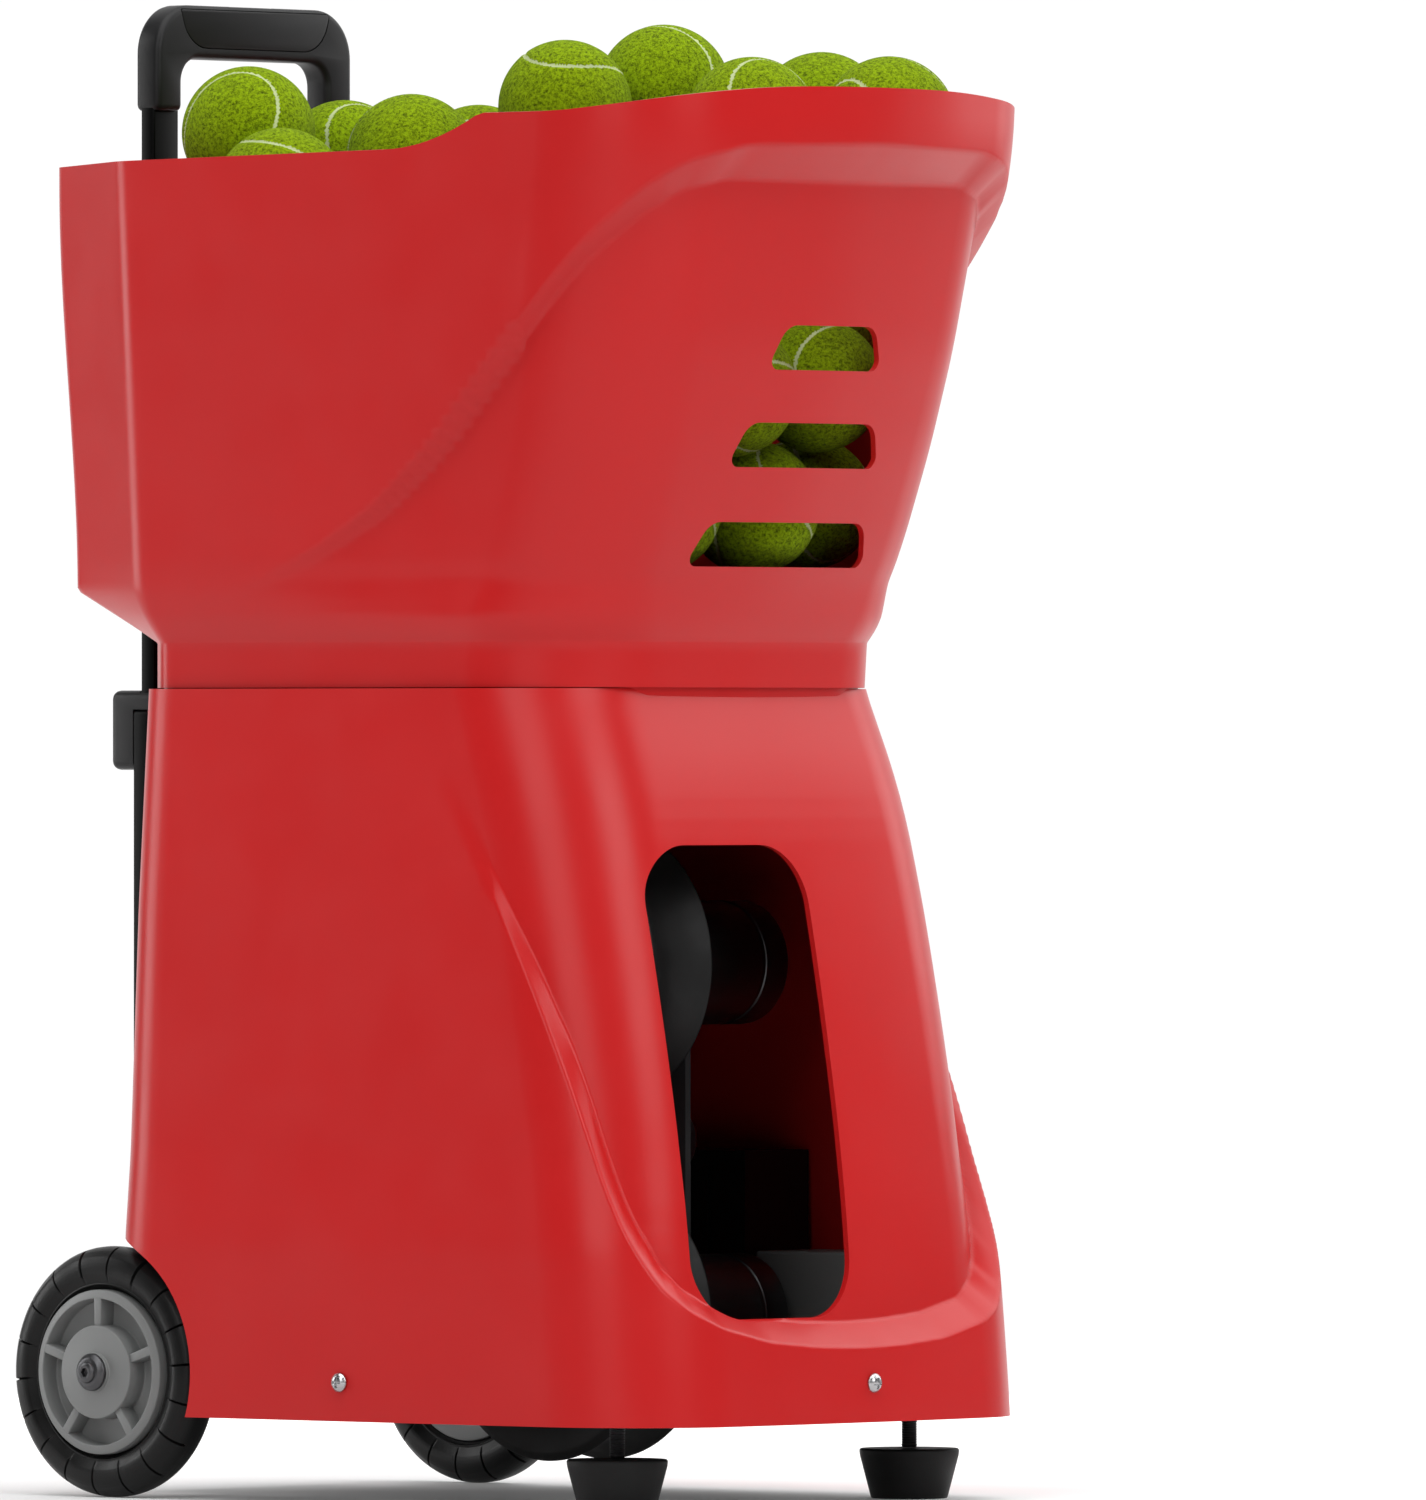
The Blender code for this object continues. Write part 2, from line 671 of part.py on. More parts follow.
def launch_wheel(name, up, frame):
    """One launching wheel: an aluminium core under a rubber tread with a hollow for the ball."""
    half = LAUNCH_WHEEL_WIDTH / 2
    core_radius = 0.052
    groove = []
    for step in range(7):
        across = half - 0.003 - step / 6 * 2 * (half - 0.003)
        hollow = GROOVE_DEPTH * (1 - (across / (half - 0.003)) ** 2)
        groove.append((LAUNCH_WHEEL_RADIUS - hollow, across))
    tread = [(core_radius + GAP, half), (LAUNCH_WHEEL_RADIUS - 0.003, half)] + groove
    tread += [(LAUNCH_WHEEL_RADIUS - 0.003, -half), (core_radius + GAP, -half)]
    finish_part(turned(tread, head_point(HEAD_X, 0.0, up), "X", 36), name + "_tread", "rubber", frame)
    core = [(core_radius, half - 0.002), (core_radius, -half + 0.002), (0.045, -half + 0.002),
            (0.043, -half + 0.010), (0.018, -half + 0.010), (0.016, -half + 0.002), (0.0044, -half + 0.002),
            (0.0044, half - 0.002), (0.016, half - 0.002), (0.018, half - 0.010), (0.043, half - 0.010),
            (0.045, half - 0.002)]
    finish_part(turned(core, head_point(HEAD_X, 0.0, up), "X", 24), name + "_core", "aluminium", frame)
    left, right = HEAD_X - half - 0.001, 0.016
    shaft = cylinder(0.0040, right - left, head_point((left + right) / 2, 0.0, up), "X", 20)
    finish_part(shaft, name + "_shaft", "bright_steel", frame)


def launch_motor(name, up, frame):
    inner = PLATE_X + PLATE_THICKNESS / 2 + GAP
    outer = 0.084
    centre = head_point((inner + outer) / 2, 0.0, up)
    motor = cylinder(MOTOR_RADIUS, outer - inner, centre, "X", 32, 0.003)
    cut(motor, cylinder(0.0045, 0.050, head_point(-0.004, 0.0, up), "X", 20))
    finish_part(motor, name, "motor_steel", frame)


def launch_plate(frame):
    """The plate that carries both wheels and both motors, and tilts about its middle."""
    radius = 0.040
    outline = []
    for side in (1, -1):
        for step in range(9):
            a = step / 8 * math.pi + (0 if side == 1 else math.pi)
            outline.append((radius * math.cos(a), side * LAUNCH_WHEEL_LIFT + radius * math.sin(a)))
    holes = [(0.0, up, 0.0060) for up in (-LAUNCH_WHEEL_LIFT, LAUNCH_WHEEL_LIFT)]
    plate = side_plate(outline, PLATE_THICKNESS, PLATE_X, holes + [(0.0, 0.0, 0.0064)])
    lug = box((0.0036, 0.032, 0.020), head_point(PLATE_X, -0.048, -0.012))
    join(plate, lug)
    finish_part(plate, "launch_plate", "painted_frame", frame)
    pin = cylinder(0.0060, 0.0155, head_point(PLATE_X - 0.0018 + 0.00775, 0.0, 0.0), "X", 24)
    finish_part(pin, "tilt_pin", "bright_steel", frame)


def ball_guide(frame):
    """The open trough that leads a ball from the drop tube into the nip of the wheels."""
    inner, wall, length = 0.0365, 0.0025, 0.030
    centre = head_point(HEAD_X - 0.0040, -0.069, -0.001)
    ring = cylinder(inner + wall, length, centre, "Y", 32)
    cut(ring, cylinder(inner, length + 0.01, centre, "Y", 32))
    cut(ring, box((0.09, 0.05, 0.06), (centre[0], centre[1], centre[2] + 0.030 + 0.012)))
    finish_part(ring, "ball_guide", "black_plastic", frame)


def launching_head():
    yaw = joint_frame("yaw_axis", (HEAD_X, ahead(HEAD_AHEAD), DECK_Z))
    tilt = joint_frame("tilt_axis", head_point(0.0, 0.0, 0.0), yaw)
    yaw_head(yaw)
    launch_plate(tilt)
    ball_guide(tilt)
    for name, up in (("upper", LAUNCH_WHEEL_LIFT), ("lower", -LAUNCH_WHEEL_LIFT)):
        launch_motor(name + "_motor", up, tilt)
        spin = joint_frame(name + "_wheel_axis", head_point(HEAD_X, 0.0, up), tilt)
        launch_wheel(name + "_launch_wheel", up, spin)


# ---------------------------------------------------------------- power and control


def electrics():
    battery = box((0.049, 0.083, 0.124), (0.1225, ahead(0.1715), BASE_Z + BASE_THICKNESS + GAP + 0.062))
    grooves = [box((0.004, 0.004, 0.110), (0.0975, ahead(0.142 + 0.012 * i), 0.110)) for i in range(5)]
    cut(battery, *grooves)
    finish_part(battery, "battery_pack", "black_plastic")
    controller = box((0.050, 0.062, 0.074), (0.1215, ahead(0.252), BASE_Z + BASE_THICKNESS + GAP + 0.037),
                     0.0015)
    finish_part(controller, "controller_box", "hub_grey")

    panel_z, face = 0.240, CASING_REAR - GAP
    panel = box((0.070, 0.004, 0.090), (0.0, ahead(face - 0.002), panel_z), 0.001)
    opening = box((0.0214, 0.02, 0.0154), (0.0, ahead(face), panel_z + 0.020))
    socket_hole = cylinder(0.0066, 0.02, (0.0, ahead(face), panel_z - 0.020), "Y", 20)
    cut(panel, opening, socket_hole)
    finish_part(panel, "control_panel", "black_plastic")
    rocker_frame = joint_frame("switch_axis", (0.0, ahead(face - 0.002), panel_z + 0.020))
    rocker = box((0.0200, 0.0070, 0.0138), (0.0, ahead(face - 0.0048), panel_z + 0.020), 0.0012)
    rocker.rotation_euler.x = math.radians(-7)
    finish_part(rocker, "power_switch", "rubber", rocker_frame)
    socket = cylinder(0.0060, 0.0052, (0.0, ahead(face - 0.0029), panel_z - 0.020), "Y", 24)
    cut(socket, cylinder(0.0030, 0.007, (0.0, ahead(face - 0.0060), panel_z - 0.020), "Y", 20))
    finish_part(socket, "charge_socket", "bright_steel")


# ---------------------------------------------------------------- trolley wheels and axle


def trolley_wheel(side, name, frame):
    """One rear wheel: a grey hub with five spokes inside a rubber tyre."""
    half = TYRE_WIDTH / 2
    bead = 0.0412
    profile = [(bead + GAP, half - 0.0030)]
    for step in range(7):
        a = math.pi / 2 - step / 6 * math.pi
        bulge_radius = 0.0098
        profile.append((WHEEL_RADIUS - bulge_radius + bulge_radius * math.cos(a), half * math.sin(a)))
    profile.append((bead + GAP, -half + 0.0030))
    axis = "X" if side > 0 else "-X"
    centre = (side * WHEEL_MID_X, AXLE_Y, AXLE_Z)
    finish_part(turned(profile, centre, axis, 36), "tyre_" + name, "rubber", frame)
    face = HUB_OUTER_X - WHEEL_MID_X
    hub_profile = [(0.0095, face), (0.0095, face - 0.002), (0.0233, face - 0.002), (0.0235, face - 0.012),
                   (0.0365, face - 0.012), (0.0369, face - 0.003), (bead, face - 0.004),
                   (bead, -face + 0.008), (0.0330, -face + 0.008), (0.0310, -0.002), (0.0200, -0.002),
                   (0.0190, -face + 0.002), (AXLE_RADIUS + GAP, -face + 0.002), (AXLE_RADIUS + GAP, face)]
    hub = turned(hub_profile, centre, axis, 30)
    for i in range(5):
        angle = math.radians(90 + 72 * i)
        spoke = box((0.0095, 0.0170, 0.0043), (side * (HUB_OUTER_X - 0.0085), AXLE_Y + 0.030 * math.cos(angle),
                                                AXLE_Z + 0.030 * math.sin(angle)))
        spoke.rotation_euler.x = angle
        join(hub, spoke)
    finish_part(hub, "wheel_hub_" + name, "hub_grey", frame)


def wheels_and_axle():
    reach = HUB_OUTER_X + 0.0050
    axle = cylinder(AXLE_RADIUS, 2 * reach, (0, AXLE_Y, AXLE_Z), "X", 20)
    finish_part(axle, "axle", "bright_steel")
    for side, name in ((-1, "left"), (1, "right")):
        spin = joint_frame("wheel_axis_" + name, (side * WHEEL_MID_X, AXLE_Y, AXLE_Z))
        trolley_wheel(side, name, spin)
        cap = turned([(0.0055, 0.0042), (0.0080, 0.0030), (0.0095, 0.0), (0.0054, 0.0)],
                     (side * (HUB_OUTER_X + GAP), AXLE_Y, AXLE_Z), "X" if side > 0 else "-X", 18)
        finish_part(cap, "axle_cap_" + name, "motor_steel")
        well = cylinder(ARCH_RADIUS - GAP, 0.0365, (side * (WELL_INNER_X + 0.0187), AXLE_Y, AXLE_Z), "X", 40)
        room = cylinder(ARCH_RADIUS - 0.002, 0.040, (side * (WELL_INNER_X + 0.0222), AXLE_Y, AXLE_Z), "X", 40)
        below = box((0.10, 0.30, 0.10), (side * 0.13, AXLE_Y, 0.0485 - 0.05))
        behind = box((0.10, 0.10, 0.30), (side * 0.13, ahead(0.0118) + 0.05, AXLE_Z))
        outside = box((0.05, 0.30, 0.30), (side * (0.1525 + 0.025), AXLE_Y, AXLE_Z))
        corner = box((0.05, 0.05, 0.30), (side * 0.1611, ahead(0.0032), AXLE_Z))
        corner.rotation_euler.z = math.pi / 4
        cut(well, room, below, behind, outside, corner)
        finish_part(well, "wheel_well_" + name, "black_plastic")


# ---------------------------------------------------------------- trolley handle


def bracket(name, low, high, near, far):
    """A block on the rear wall that holds both handle tubes; near and far are distances ahead."""
    block = box((0.150, near - far, high - low), (0, ahead((near + far) / 2), (low + high) / 2), 0.004)
    return block


def handle():
    slide = joint_frame("handle_slide", (0.0, ahead(HANDLE_AHEAD), BRACKET_TOP))
    tube_low = 0.0400
    rod_low = 0.060
    tube_wall = 0.0020
    upper = bracket("upper_bracket", BRACKET_BOTTOM, BRACKET_TOP, CASING_REAR - GAP, -0.061)
    lower = bracket("axle_bracket", 0.0440, 0.0900, CASING_REAR - GAP, -0.050)
    for side, name in ((-1, "left"), (1, "right")):
        centre = (side * ROD_X, ahead(HANDLE_AHEAD))
        width, depth = OUTER_TUBE_SIZE
        low, high = tube_low, BRACKET_BOTTOM + 0.030
        outer = box((width, depth, high - low), (*centre, (low + high) / 2), 0.0015)
        inside = (width - 2 * tube_wall, depth - 2 * tube_wall, high - low)
        cut(outer, box(inside, (*centre, (low + high) / 2 + tube_wall)))
        finish_part(outer, "handle_tube_" + name, "black_aluminium")
        for block in (upper, lower):
            cut(block, box((width + 2 * GAP, depth + 2 * GAP, high - low + 2 * GAP),
                           (*centre, (low + high) / 2)))
        cut(upper, box((ROD_SIZE[0] + 0.0010, ROD_SIZE[1] + 0.0010, 0.05), (*centre, BRACKET_TOP)))
        rod_top = GRIP_BOTTOM - GAP
        rod = box((*ROD_SIZE, rod_top - rod_low), (*centre, (rod_top + rod_low) / 2), 0.0010)
        finish_part(rod, "handle_rod_" + name, "black_aluminium", slide)
    cut(lower, cylinder(AXLE_RADIUS + GAP, 0.20, (0, AXLE_Y, AXLE_Z), "X", 20))
    finish_part(upper, "upper_bracket", "black_plastic")
    finish_part(lower, "axle_bracket", "black_plastic")
    grip_parts(slide)


def grip_parts(slide):
    """The U-shaped grip with its inlaid front panel and the button that frees the handle."""
    middle = (GRIP_BOTTOM + GRIP_TOP) / 2
    grip = flat_plate(rounded_rectangle(GRIP_WIDTH, GRIP_TOP - GRIP_BOTTOM + 0.05, 0.025, 6), GRIP_DEPTH)
    grip.rotation_euler = (math.pi / 2, 0, 0)
    grip.location = (0, ahead(HANDLE_AHEAD), middle - 0.025)
    below = box((0.20, 0.05, 0.06), (0, ahead(HANDLE_AHEAD), GRIP_BOTTOM - 0.030))
    hand = flat_plate(rounded_rectangle(0.109, 0.090, 0.012, 5), 0.05)
    hand.rotation_euler = (math.pi / 2, 0, 0)
    hand.location = (0, ahead(HANDLE_AHEAD), 0.722 - 0.045)
    pocket = box((0.0340, 0.0110, 0.0120), (0, ahead(HANDLE_AHEAD), GRIP_TOP - 0.003))
    recess = box((0.094, 0.004, 0.0152), (0, ahead(HANDLE_AHEAD + GRIP_DEPTH / 2), 0.7352))
    cut(grip, below, hand, pocket, recess)
    finish_part(grip, "handle_grip", "black_plastic", slide)
    insert = box((0.0930, 0.0018, 0.0142), (0, ahead(HANDLE_AHEAD + GRIP_DEPTH / 2 - 0.0008), 0.7352), 0.0006)
    finish_part(insert, "grip_insert", "black_plastic", slide)
    press = joint_frame("button_slide", (0.0, ahead(HANDLE_AHEAD), GRIP_TOP), slide)
    button = box((0.0320, 0.0096, 0.0045), (0, ahead(HANDLE_AHEAD), GRIP_TOP - 0.00225), 0.0012)
    finish_part(button, "release_button", "black_plastic", press)


# ---------------------------------------------------------------- feet and screws


def feet():
    for side, name in ((-1, "left"), (1, "right")):
        centre = (side * FOOT_X, ahead(FOOT_AHEAD))
        height = joint_frame("foot_slide_" + name, (*centre, 0.0))
        pad = turned([(0.0, FOOT_HEIGHT), (0.0240, FOOT_HEIGHT), (0.0250, FOOT_HEIGHT - 0.0015), (0.0190, 0.0),
                      (0.0, 0.0)], (*centre, 0.0), "Z", 32)
        finish_part(pad, "foot_pad_" + name, "rubber", height)
        top = 0.075
        rod = cylinder(0.0040, top - FOOT_HEIGHT - GAP, (*centre, (top + FOOT_HEIGHT + GAP) / 2), "Z", 16)
        finish_part(rod, "foot_rod_" + name, "bright_steel", height)
        nut = cylinder(0.0075, 0.0065, (*centre, BASE_Z + BASE_THICKNESS + GAP + 0.00325), "Z", 6)
        cut(nut, cylinder(0.0043, 0.03, (*centre, BASE_Z + 0.01), "Z", 16))
        finish_part(nut, "foot_nut_" + name, "bright_steel")


def casing_screws():
    """The domed screws that hold the lower casing to the base."""
    height = 0.061
    front = 0.3655 + 0.009
    places = {
        "left": (-0.1582, 0.169, (0, -math.pi / 2, 0)),
        "right": (0.1582, 0.169, (0, math.pi / 2, 0)),
        "front": (0.0075, front + 0.0008, (math.radians(94.5), 0, 0)),
        "rear": (0.095, CASING_REAR - 0.0002, (-math.pi / 2, 0, 0)),
    }
    for name, (x, distance, turn) in places.items():
        profile = [(0.0, 0.0022), (0.0022, 0.0018), (0.0037, 0.0), (0.0, 0.0)]
        screw = turned(profile, (x, ahead(distance), height), "Z", 16)
        screw.rotation_euler = turn
        finish_part(screw, "casing_screw_" + name, "bright_steel")


lower_casing()
hopper_bin()
base_plate()
deck_plate()
feeder_floor()
feeder(joint_frame("disc_axis", (0.0, ahead(DISC_AHEAD), FLOOR_Z)))
drop_tube()
launching_head()
electrics()
wheels_and_axle()
handle()
feet()
casing_screws()
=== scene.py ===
"""The looks of the tennis ball machine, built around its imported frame.

Every length is in metres. The front is towards -Y and ahead(d) is the Y of a point that lies the
distance d in front of the rear axle, as in the part's own source.
"""

import json
import math
import random

import bmesh
import bpy
import numpy as np
from mathutils import Matrix, Vector


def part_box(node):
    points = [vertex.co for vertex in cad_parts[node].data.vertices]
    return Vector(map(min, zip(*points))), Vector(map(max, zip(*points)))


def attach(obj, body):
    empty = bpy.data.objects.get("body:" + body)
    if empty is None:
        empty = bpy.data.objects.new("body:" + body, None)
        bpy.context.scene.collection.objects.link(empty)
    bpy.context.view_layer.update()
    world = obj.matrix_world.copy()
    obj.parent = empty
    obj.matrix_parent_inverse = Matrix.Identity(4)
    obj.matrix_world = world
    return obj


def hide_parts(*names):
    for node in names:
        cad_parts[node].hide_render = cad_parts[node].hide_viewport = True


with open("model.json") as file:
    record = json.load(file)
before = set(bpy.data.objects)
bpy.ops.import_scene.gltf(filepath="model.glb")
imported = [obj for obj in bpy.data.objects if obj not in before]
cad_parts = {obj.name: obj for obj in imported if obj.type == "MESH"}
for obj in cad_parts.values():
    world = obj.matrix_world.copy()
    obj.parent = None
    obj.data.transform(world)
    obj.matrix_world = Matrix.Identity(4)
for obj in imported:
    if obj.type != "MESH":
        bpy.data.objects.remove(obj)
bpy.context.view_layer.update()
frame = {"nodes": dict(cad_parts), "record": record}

AXLE_Y = sum(corner[1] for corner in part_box("axle")) / 2
WALL = 0.003
BALL_RADIUS = 0.0335

# The casing, and the slot that the balls leave by.
CASING_BOTTOM = 0.0417
CASING_TOP = 0.404
CORNER_REACH = 0.062
FRONT_BULGE = 0.009
SLOT_WIDTH = 0.115
SLOT_HEIGHT = 0.2331
SLOT_RADIUS = 0.030
SLOT_X = -0.0455
SLOT_Z = 0.21005
ARCH_RADIUS = 0.069
WHEEL_HEIGHT = 0.06275
WELL_INNER_X = 0.118
WELL_DEPTH = 0.060

# The hopper: its neck, the height where its rim starts to rise and fall, and its vents.
HOPPER_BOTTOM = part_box("hopper_bin")[0][2]
NECK_TOP = 0.427
LAST_LEVEL = 0.640
RIM_SHAPE_Z = 0.690
RIM_TOP = 0.71
VENTS = ((0.475, 0.1365), (0.524, 0.1145), (0.572, 0.0865))
VENT_HALF_HEIGHT = 0.011

# The trolley wheels' hubs: the middle plane, and the outer face that spokes and cap stand on.
HUB_X = 0.137
HUB_FACE_X = 0.154
SPOKES = 5

VIEW_AZIMUTH = -49.2
FINE = 1.0


def ahead(distance):
    return AXLE_Y - distance


# ---------------------------------------------------------------- materials


def new_material(name, colour, roughness, metallic=0.0):
    material = bpy.data.materials.new(name)
    material.use_nodes = True
    shader = material.node_tree.nodes["Principled BSDF"]
    shader.inputs["Base Color"].default_value = (*colour, 1.0)
    shader.inputs["Roughness"].default_value = roughness
    shader.inputs["Metallic"].default_value = metallic
    return material, shader


def add_node(material, kind, **inputs):
    node = material.node_tree.nodes.new(kind)
    for name, value in inputs.items():
        node.inputs[name.replace("_", " ")].default_value = value
    return node


def noise(material, scale, detail=2.0, roughness=0.5):
    """Noise in the object's own coordinates, in metres."""
    where = add_node(material, "ShaderNodeTexCoord")
    grain = add_node(material, "ShaderNodeTexNoise", Scale=scale, Detail=detail, Roughness=roughness)
    material.node_tree.links.new(where.outputs["Object"], grain.inputs["Vector"])
    return grain


def mapped(material, source, low, high):
    """Carry a noise's middle range to the range from low to high."""
    span = add_node(material, "ShaderNodeMapRange")
    span.inputs["From Min"].default_value = 0.3
    span.inputs["From Max"].default_value = 0.7
    span.inputs["To Min"].default_value = low
    span.inputs["To Max"].default_value = high
    material.node_tree.links.new(source, span.inputs["Value"])
    return span.outputs["Result"]


def vary_colour(material, shader, colour, share, scale):
    """Let the colour drift a little lighter and darker over the surface."""
    mix = material.node_tree.nodes.new("ShaderNodeMix")
    mix.data_type = "RGBA"
    mix.inputs["A"].default_value = (*[c * (1 - share) for c in colour], 1.0)
    mix.inputs["B"].default_value = (*[min(c * (1 + share), 1.0) for c in colour], 1.0)
    factor = mapped(material, noise(material, scale, 4.0).outputs["Fac"], 0.0, 1.0)
    material.node_tree.links.new(factor, mix.inputs["Factor"])
    material.node_tree.links.new(mix.outputs["Result"], shader.inputs["Base Color"])


def vary_roughness(material, shader, low, high, scale):
    value = mapped(material, noise(material, scale, 3.0).outputs["Fac"], low, high)
    material.node_tree.links.new(value, shader.inputs["Roughness"])


def add_bump(material, shader, height, strength, distance):
    bump = add_node(material, "ShaderNodeBump", Strength=strength, Distance=distance)
    material.node_tree.links.new(height, bump.inputs["Height"])
    material.node_tree.links.new(bump.outputs["Normal"], shader.inputs["Normal"])


def plastic(name, colour, low, high, grain=1400.0, strength=0.12, share=0.03, shine=0.5):
    """Moulded plastic: a fine spark-eroded grain, with gloss that drifts slowly."""
    material, shader = new_material(name, colour, low)
    shader.inputs["Specular IOR Level"].default_value = shine
    vary_colour(material, shader, colour, share, 9.0)
    vary_roughness(material, shader, low, high, 24.0)
    add_bump(material, shader, noise(material, grain, 2.0).outputs["Fac"], strength, 0.0002)
    return material


def rubber(name, colour, roughness):
    """Matt rubber with a dusty bloom and a coarse skin."""
    material, shader = new_material(name, colour, roughness)
    shader.inputs["Specular IOR Level"].default_value = 0.22
    vary_colour(material, shader, colour, 0.25, 30.0)
    vary_roughness(material, shader, roughness - 0.08, roughness + 0.10, 60.0)
    add_bump(material, shader, noise(material, 900.0, 4.0, 0.6).outputs["Fac"], 0.25, 0.0003)
    return material


def metal(name, colour, low, high, stretch=(1.0, 1.0, 60.0)):
    """Drawn or turned metal with fine marks along one way."""
    material, shader = new_material(name, colour, low, 1.0)
    where = add_node(material, "ShaderNodeTexCoord")
    pull = add_node(material, "ShaderNodeMapping", Scale=stretch)
    grain = add_node(material, "ShaderNodeTexNoise", Scale=25.0, Detail=4.0)
    material.node_tree.links.new(where.outputs["Object"], pull.inputs["Vector"])
    material.node_tree.links.new(pull.outputs["Vector"], grain.inputs["Vector"])
    rough = mapped(material, grain.outputs["Fac"], low, high)
    material.node_tree.links.new(rough, shader.inputs["Roughness"])
    add_bump(material, shader, grain.outputs["Fac"], 0.05, 0.0002)
    return material


def felt(name, colour):
    """Tennis ball felt: a tangled nap of lighter and darker fibres."""
    material, shader = new_material(name, colour, 0.95)
    nap = noise(material, 560.0, 6.0, 0.85)
    ramp = material.node_tree.nodes.new("ShaderNodeValToRGB")
    ramp.color_ramp.elements[0].position = 0.38
    ramp.color_ramp.elements[0].color = (*[c * 0.25 for c in colour], 1.0)
    ramp.color_ramp.elements[1].position = 0.58
    ramp.color_ramp.elements[1].color = (*[c * 1.40 for c in colour], 1.0)
    material.node_tree.links.new(nap.outputs["Fac"], ramp.inputs["Fac"])
    material.node_tree.links.new(ramp.outputs["Color"], shader.inputs["Base Color"])
    shader.inputs["Specular IOR Level"].default_value = 0.04
    shader.inputs["Sheen Weight"].default_value = 0.02
    shader.inputs["Sheen Roughness"].default_value = 0.6
    add_bump(material, shader, nap.outputs["Fac"], 0.9, 0.0012)
    return material


RED = (0.46, 0.0100, 0.0105)
BLACK = (0.0055, 0.0055, 0.006)
MATERIALS = {
    "red_plastic": plastic("red_plastic", RED, 0.28, 0.33, 1600.0, 0.05, 0.02, 0.26),
    "black_plastic": plastic("black_plastic", BLACK, 0.38, 0.50, 1500.0, 0.20, 0.15, 0.25),
    "painted_frame": plastic("painted_frame", (0.016, 0.016, 0.017), 0.45, 0.60, 1100.0, 0.30, 0.15),
    "black_aluminium": metal("black_aluminium", (0.005, 0.005, 0.005), 0.34, 0.46, (60.0, 60.0, 1.0)),
    "aluminium": metal("aluminium", (0.50, 0.51, 0.52), 0.34, 0.48),
    "motor_steel": metal("motor_steel", (0.090, 0.090, 0.094), 0.30, 0.44, (1.0, 60.0, 60.0)),
    "bright_steel": metal("bright_steel", (0.46, 0.46, 0.47), 0.20, 0.32),
    "rubber": rubber("rubber", (0.006, 0.006, 0.006), 0.50),
    "tyre": rubber("tyre", (0.0035, 0.0035, 0.0035), 0.38),
    "hub_grey": plastic("hub_grey", (0.165, 0.170, 0.168), 0.42, 0.54, 1200.0, 0.15, 0.05),
}
SLOT_OF = {row["node"]: row["material_slot"] for row in frame["record"]["subparts"]}


def dress_cad_nodes():
    """Give every CAD node the finished material of its slot."""
    for name, obj in frame["nodes"].items():
        obj.data.materials.clear()
        obj.data.materials.append(MATERIALS[SLOT_OF[name]])


# ---------------------------------------------------------------- mesh helpers


def mesh_piece(name, points, faces, slot_name, body, sharp=32.0, stands_for=()):
    mesh = bpy.data.meshes.new(name)
    mesh.from_pydata(points, [], faces)
    mesh.update()
    obj = bpy.data.objects.new(name, mesh)
    bpy.context.scene.collection.objects.link(obj)
    return finish_piece(obj, slot_name, body, sharp, stands_for)


def finish_piece(obj, slot_name, body, sharp=32.0, stands_for=()):
    obj.data.materials.clear()
    obj.data.materials.append(MATERIALS[slot_name])
    obj.data.shade_smooth()
    obj.data.set_sharp_from_angle(angle=math.radians(sharp))
    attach(obj, body)
    if stands_for:
        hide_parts(*stands_for)
    return obj


def applied(obj):
    """Bake an object's modifiers into its mesh."""
    bpy.context.view_layer.update()
    evaluated = obj.evaluated_get(bpy.context.evaluated_depsgraph_get())
    mesh = bpy.data.meshes.new_from_object(evaluated)
    obj.modifiers.clear()
    obj.data = mesh
    return obj


def body_of(node):
    return next(body for body, nodes in frame["record"]["behaviour"]["bodies"].items() if node in nodes)


def middle(node):
    low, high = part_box(node)
    return tuple((a + b) / 2 for a, b in zip(low, high))


def softened(profile, reach, closed=True, steps=3):
    """Round the corners of a profile, as far as its edges allow."""
    points = []
    count = len(profile)
    for i, corner in enumerate(profile):
        if not closed and i in (0, count - 1):
            points.append(Vector(corner))
            continue
        before = Vector(profile[i - 1])
        after = Vector(profile[(i + 1) % count])
        here = Vector(corner)
        room = min(reach, 0.4 * (before - here).length, 0.4 * (after - here).length)
        points += fillet(before, here, after, room, steps)
    return points


def lathe(name, profile, centre, axis, slot_name, body, stands_for=(), steps=96, soft=0.0006, sharp=32.0,
          shape=None):
    """A turned piece from a profile of (radius, height); shape may move a point by its angle."""
    on_axis = min(p[0] for p in profile) < 1e-6
    ring = softened(profile, soft, closed=not on_axis)
    points = []
    for i in range(steps):
        angle = 2 * math.pi * i / steps
        for radius, height in ring:
            if shape:
                radius, height = shape(angle, radius, height)
            u, v = radius * math.cos(angle), radius * math.sin(angle)
            points.append({"X": (height, u, v), "-X": (-height, -u, v), "Y": (u, -height, v),
                           "Z": (u, v, height)}[axis])
    points = [tuple(c + p for c, p in zip(centre, point)) for point in points]
    count = len(ring)
    faces = []
    for i in range(steps):
        for j in range(count if not on_axis else count - 1):
            a, b = i * count + j, i * count + (j + 1) % count
            c, d = ((i + 1) % steps) * count + (j + 1) % count, ((i + 1) % steps) * count + j
            faces.append((a, b, c, d))
    obj = mesh_piece(name, points, faces, slot_name, body, sharp, stands_for)
    work = bmesh.new()
    work.from_mesh(obj.data)
    bmesh.ops.remove_doubles(work, verts=work.verts, dist=1e-6)
    bmesh.ops.dissolve_degenerate(work, edges=work.edges, dist=1e-7)
    bmesh.ops.recalc_face_normals(work, faces=work.faces)
    work.to_mesh(obj.data)
    work.free()
    obj.data.set_sharp_from_angle(angle=math.radians(sharp))
    return obj


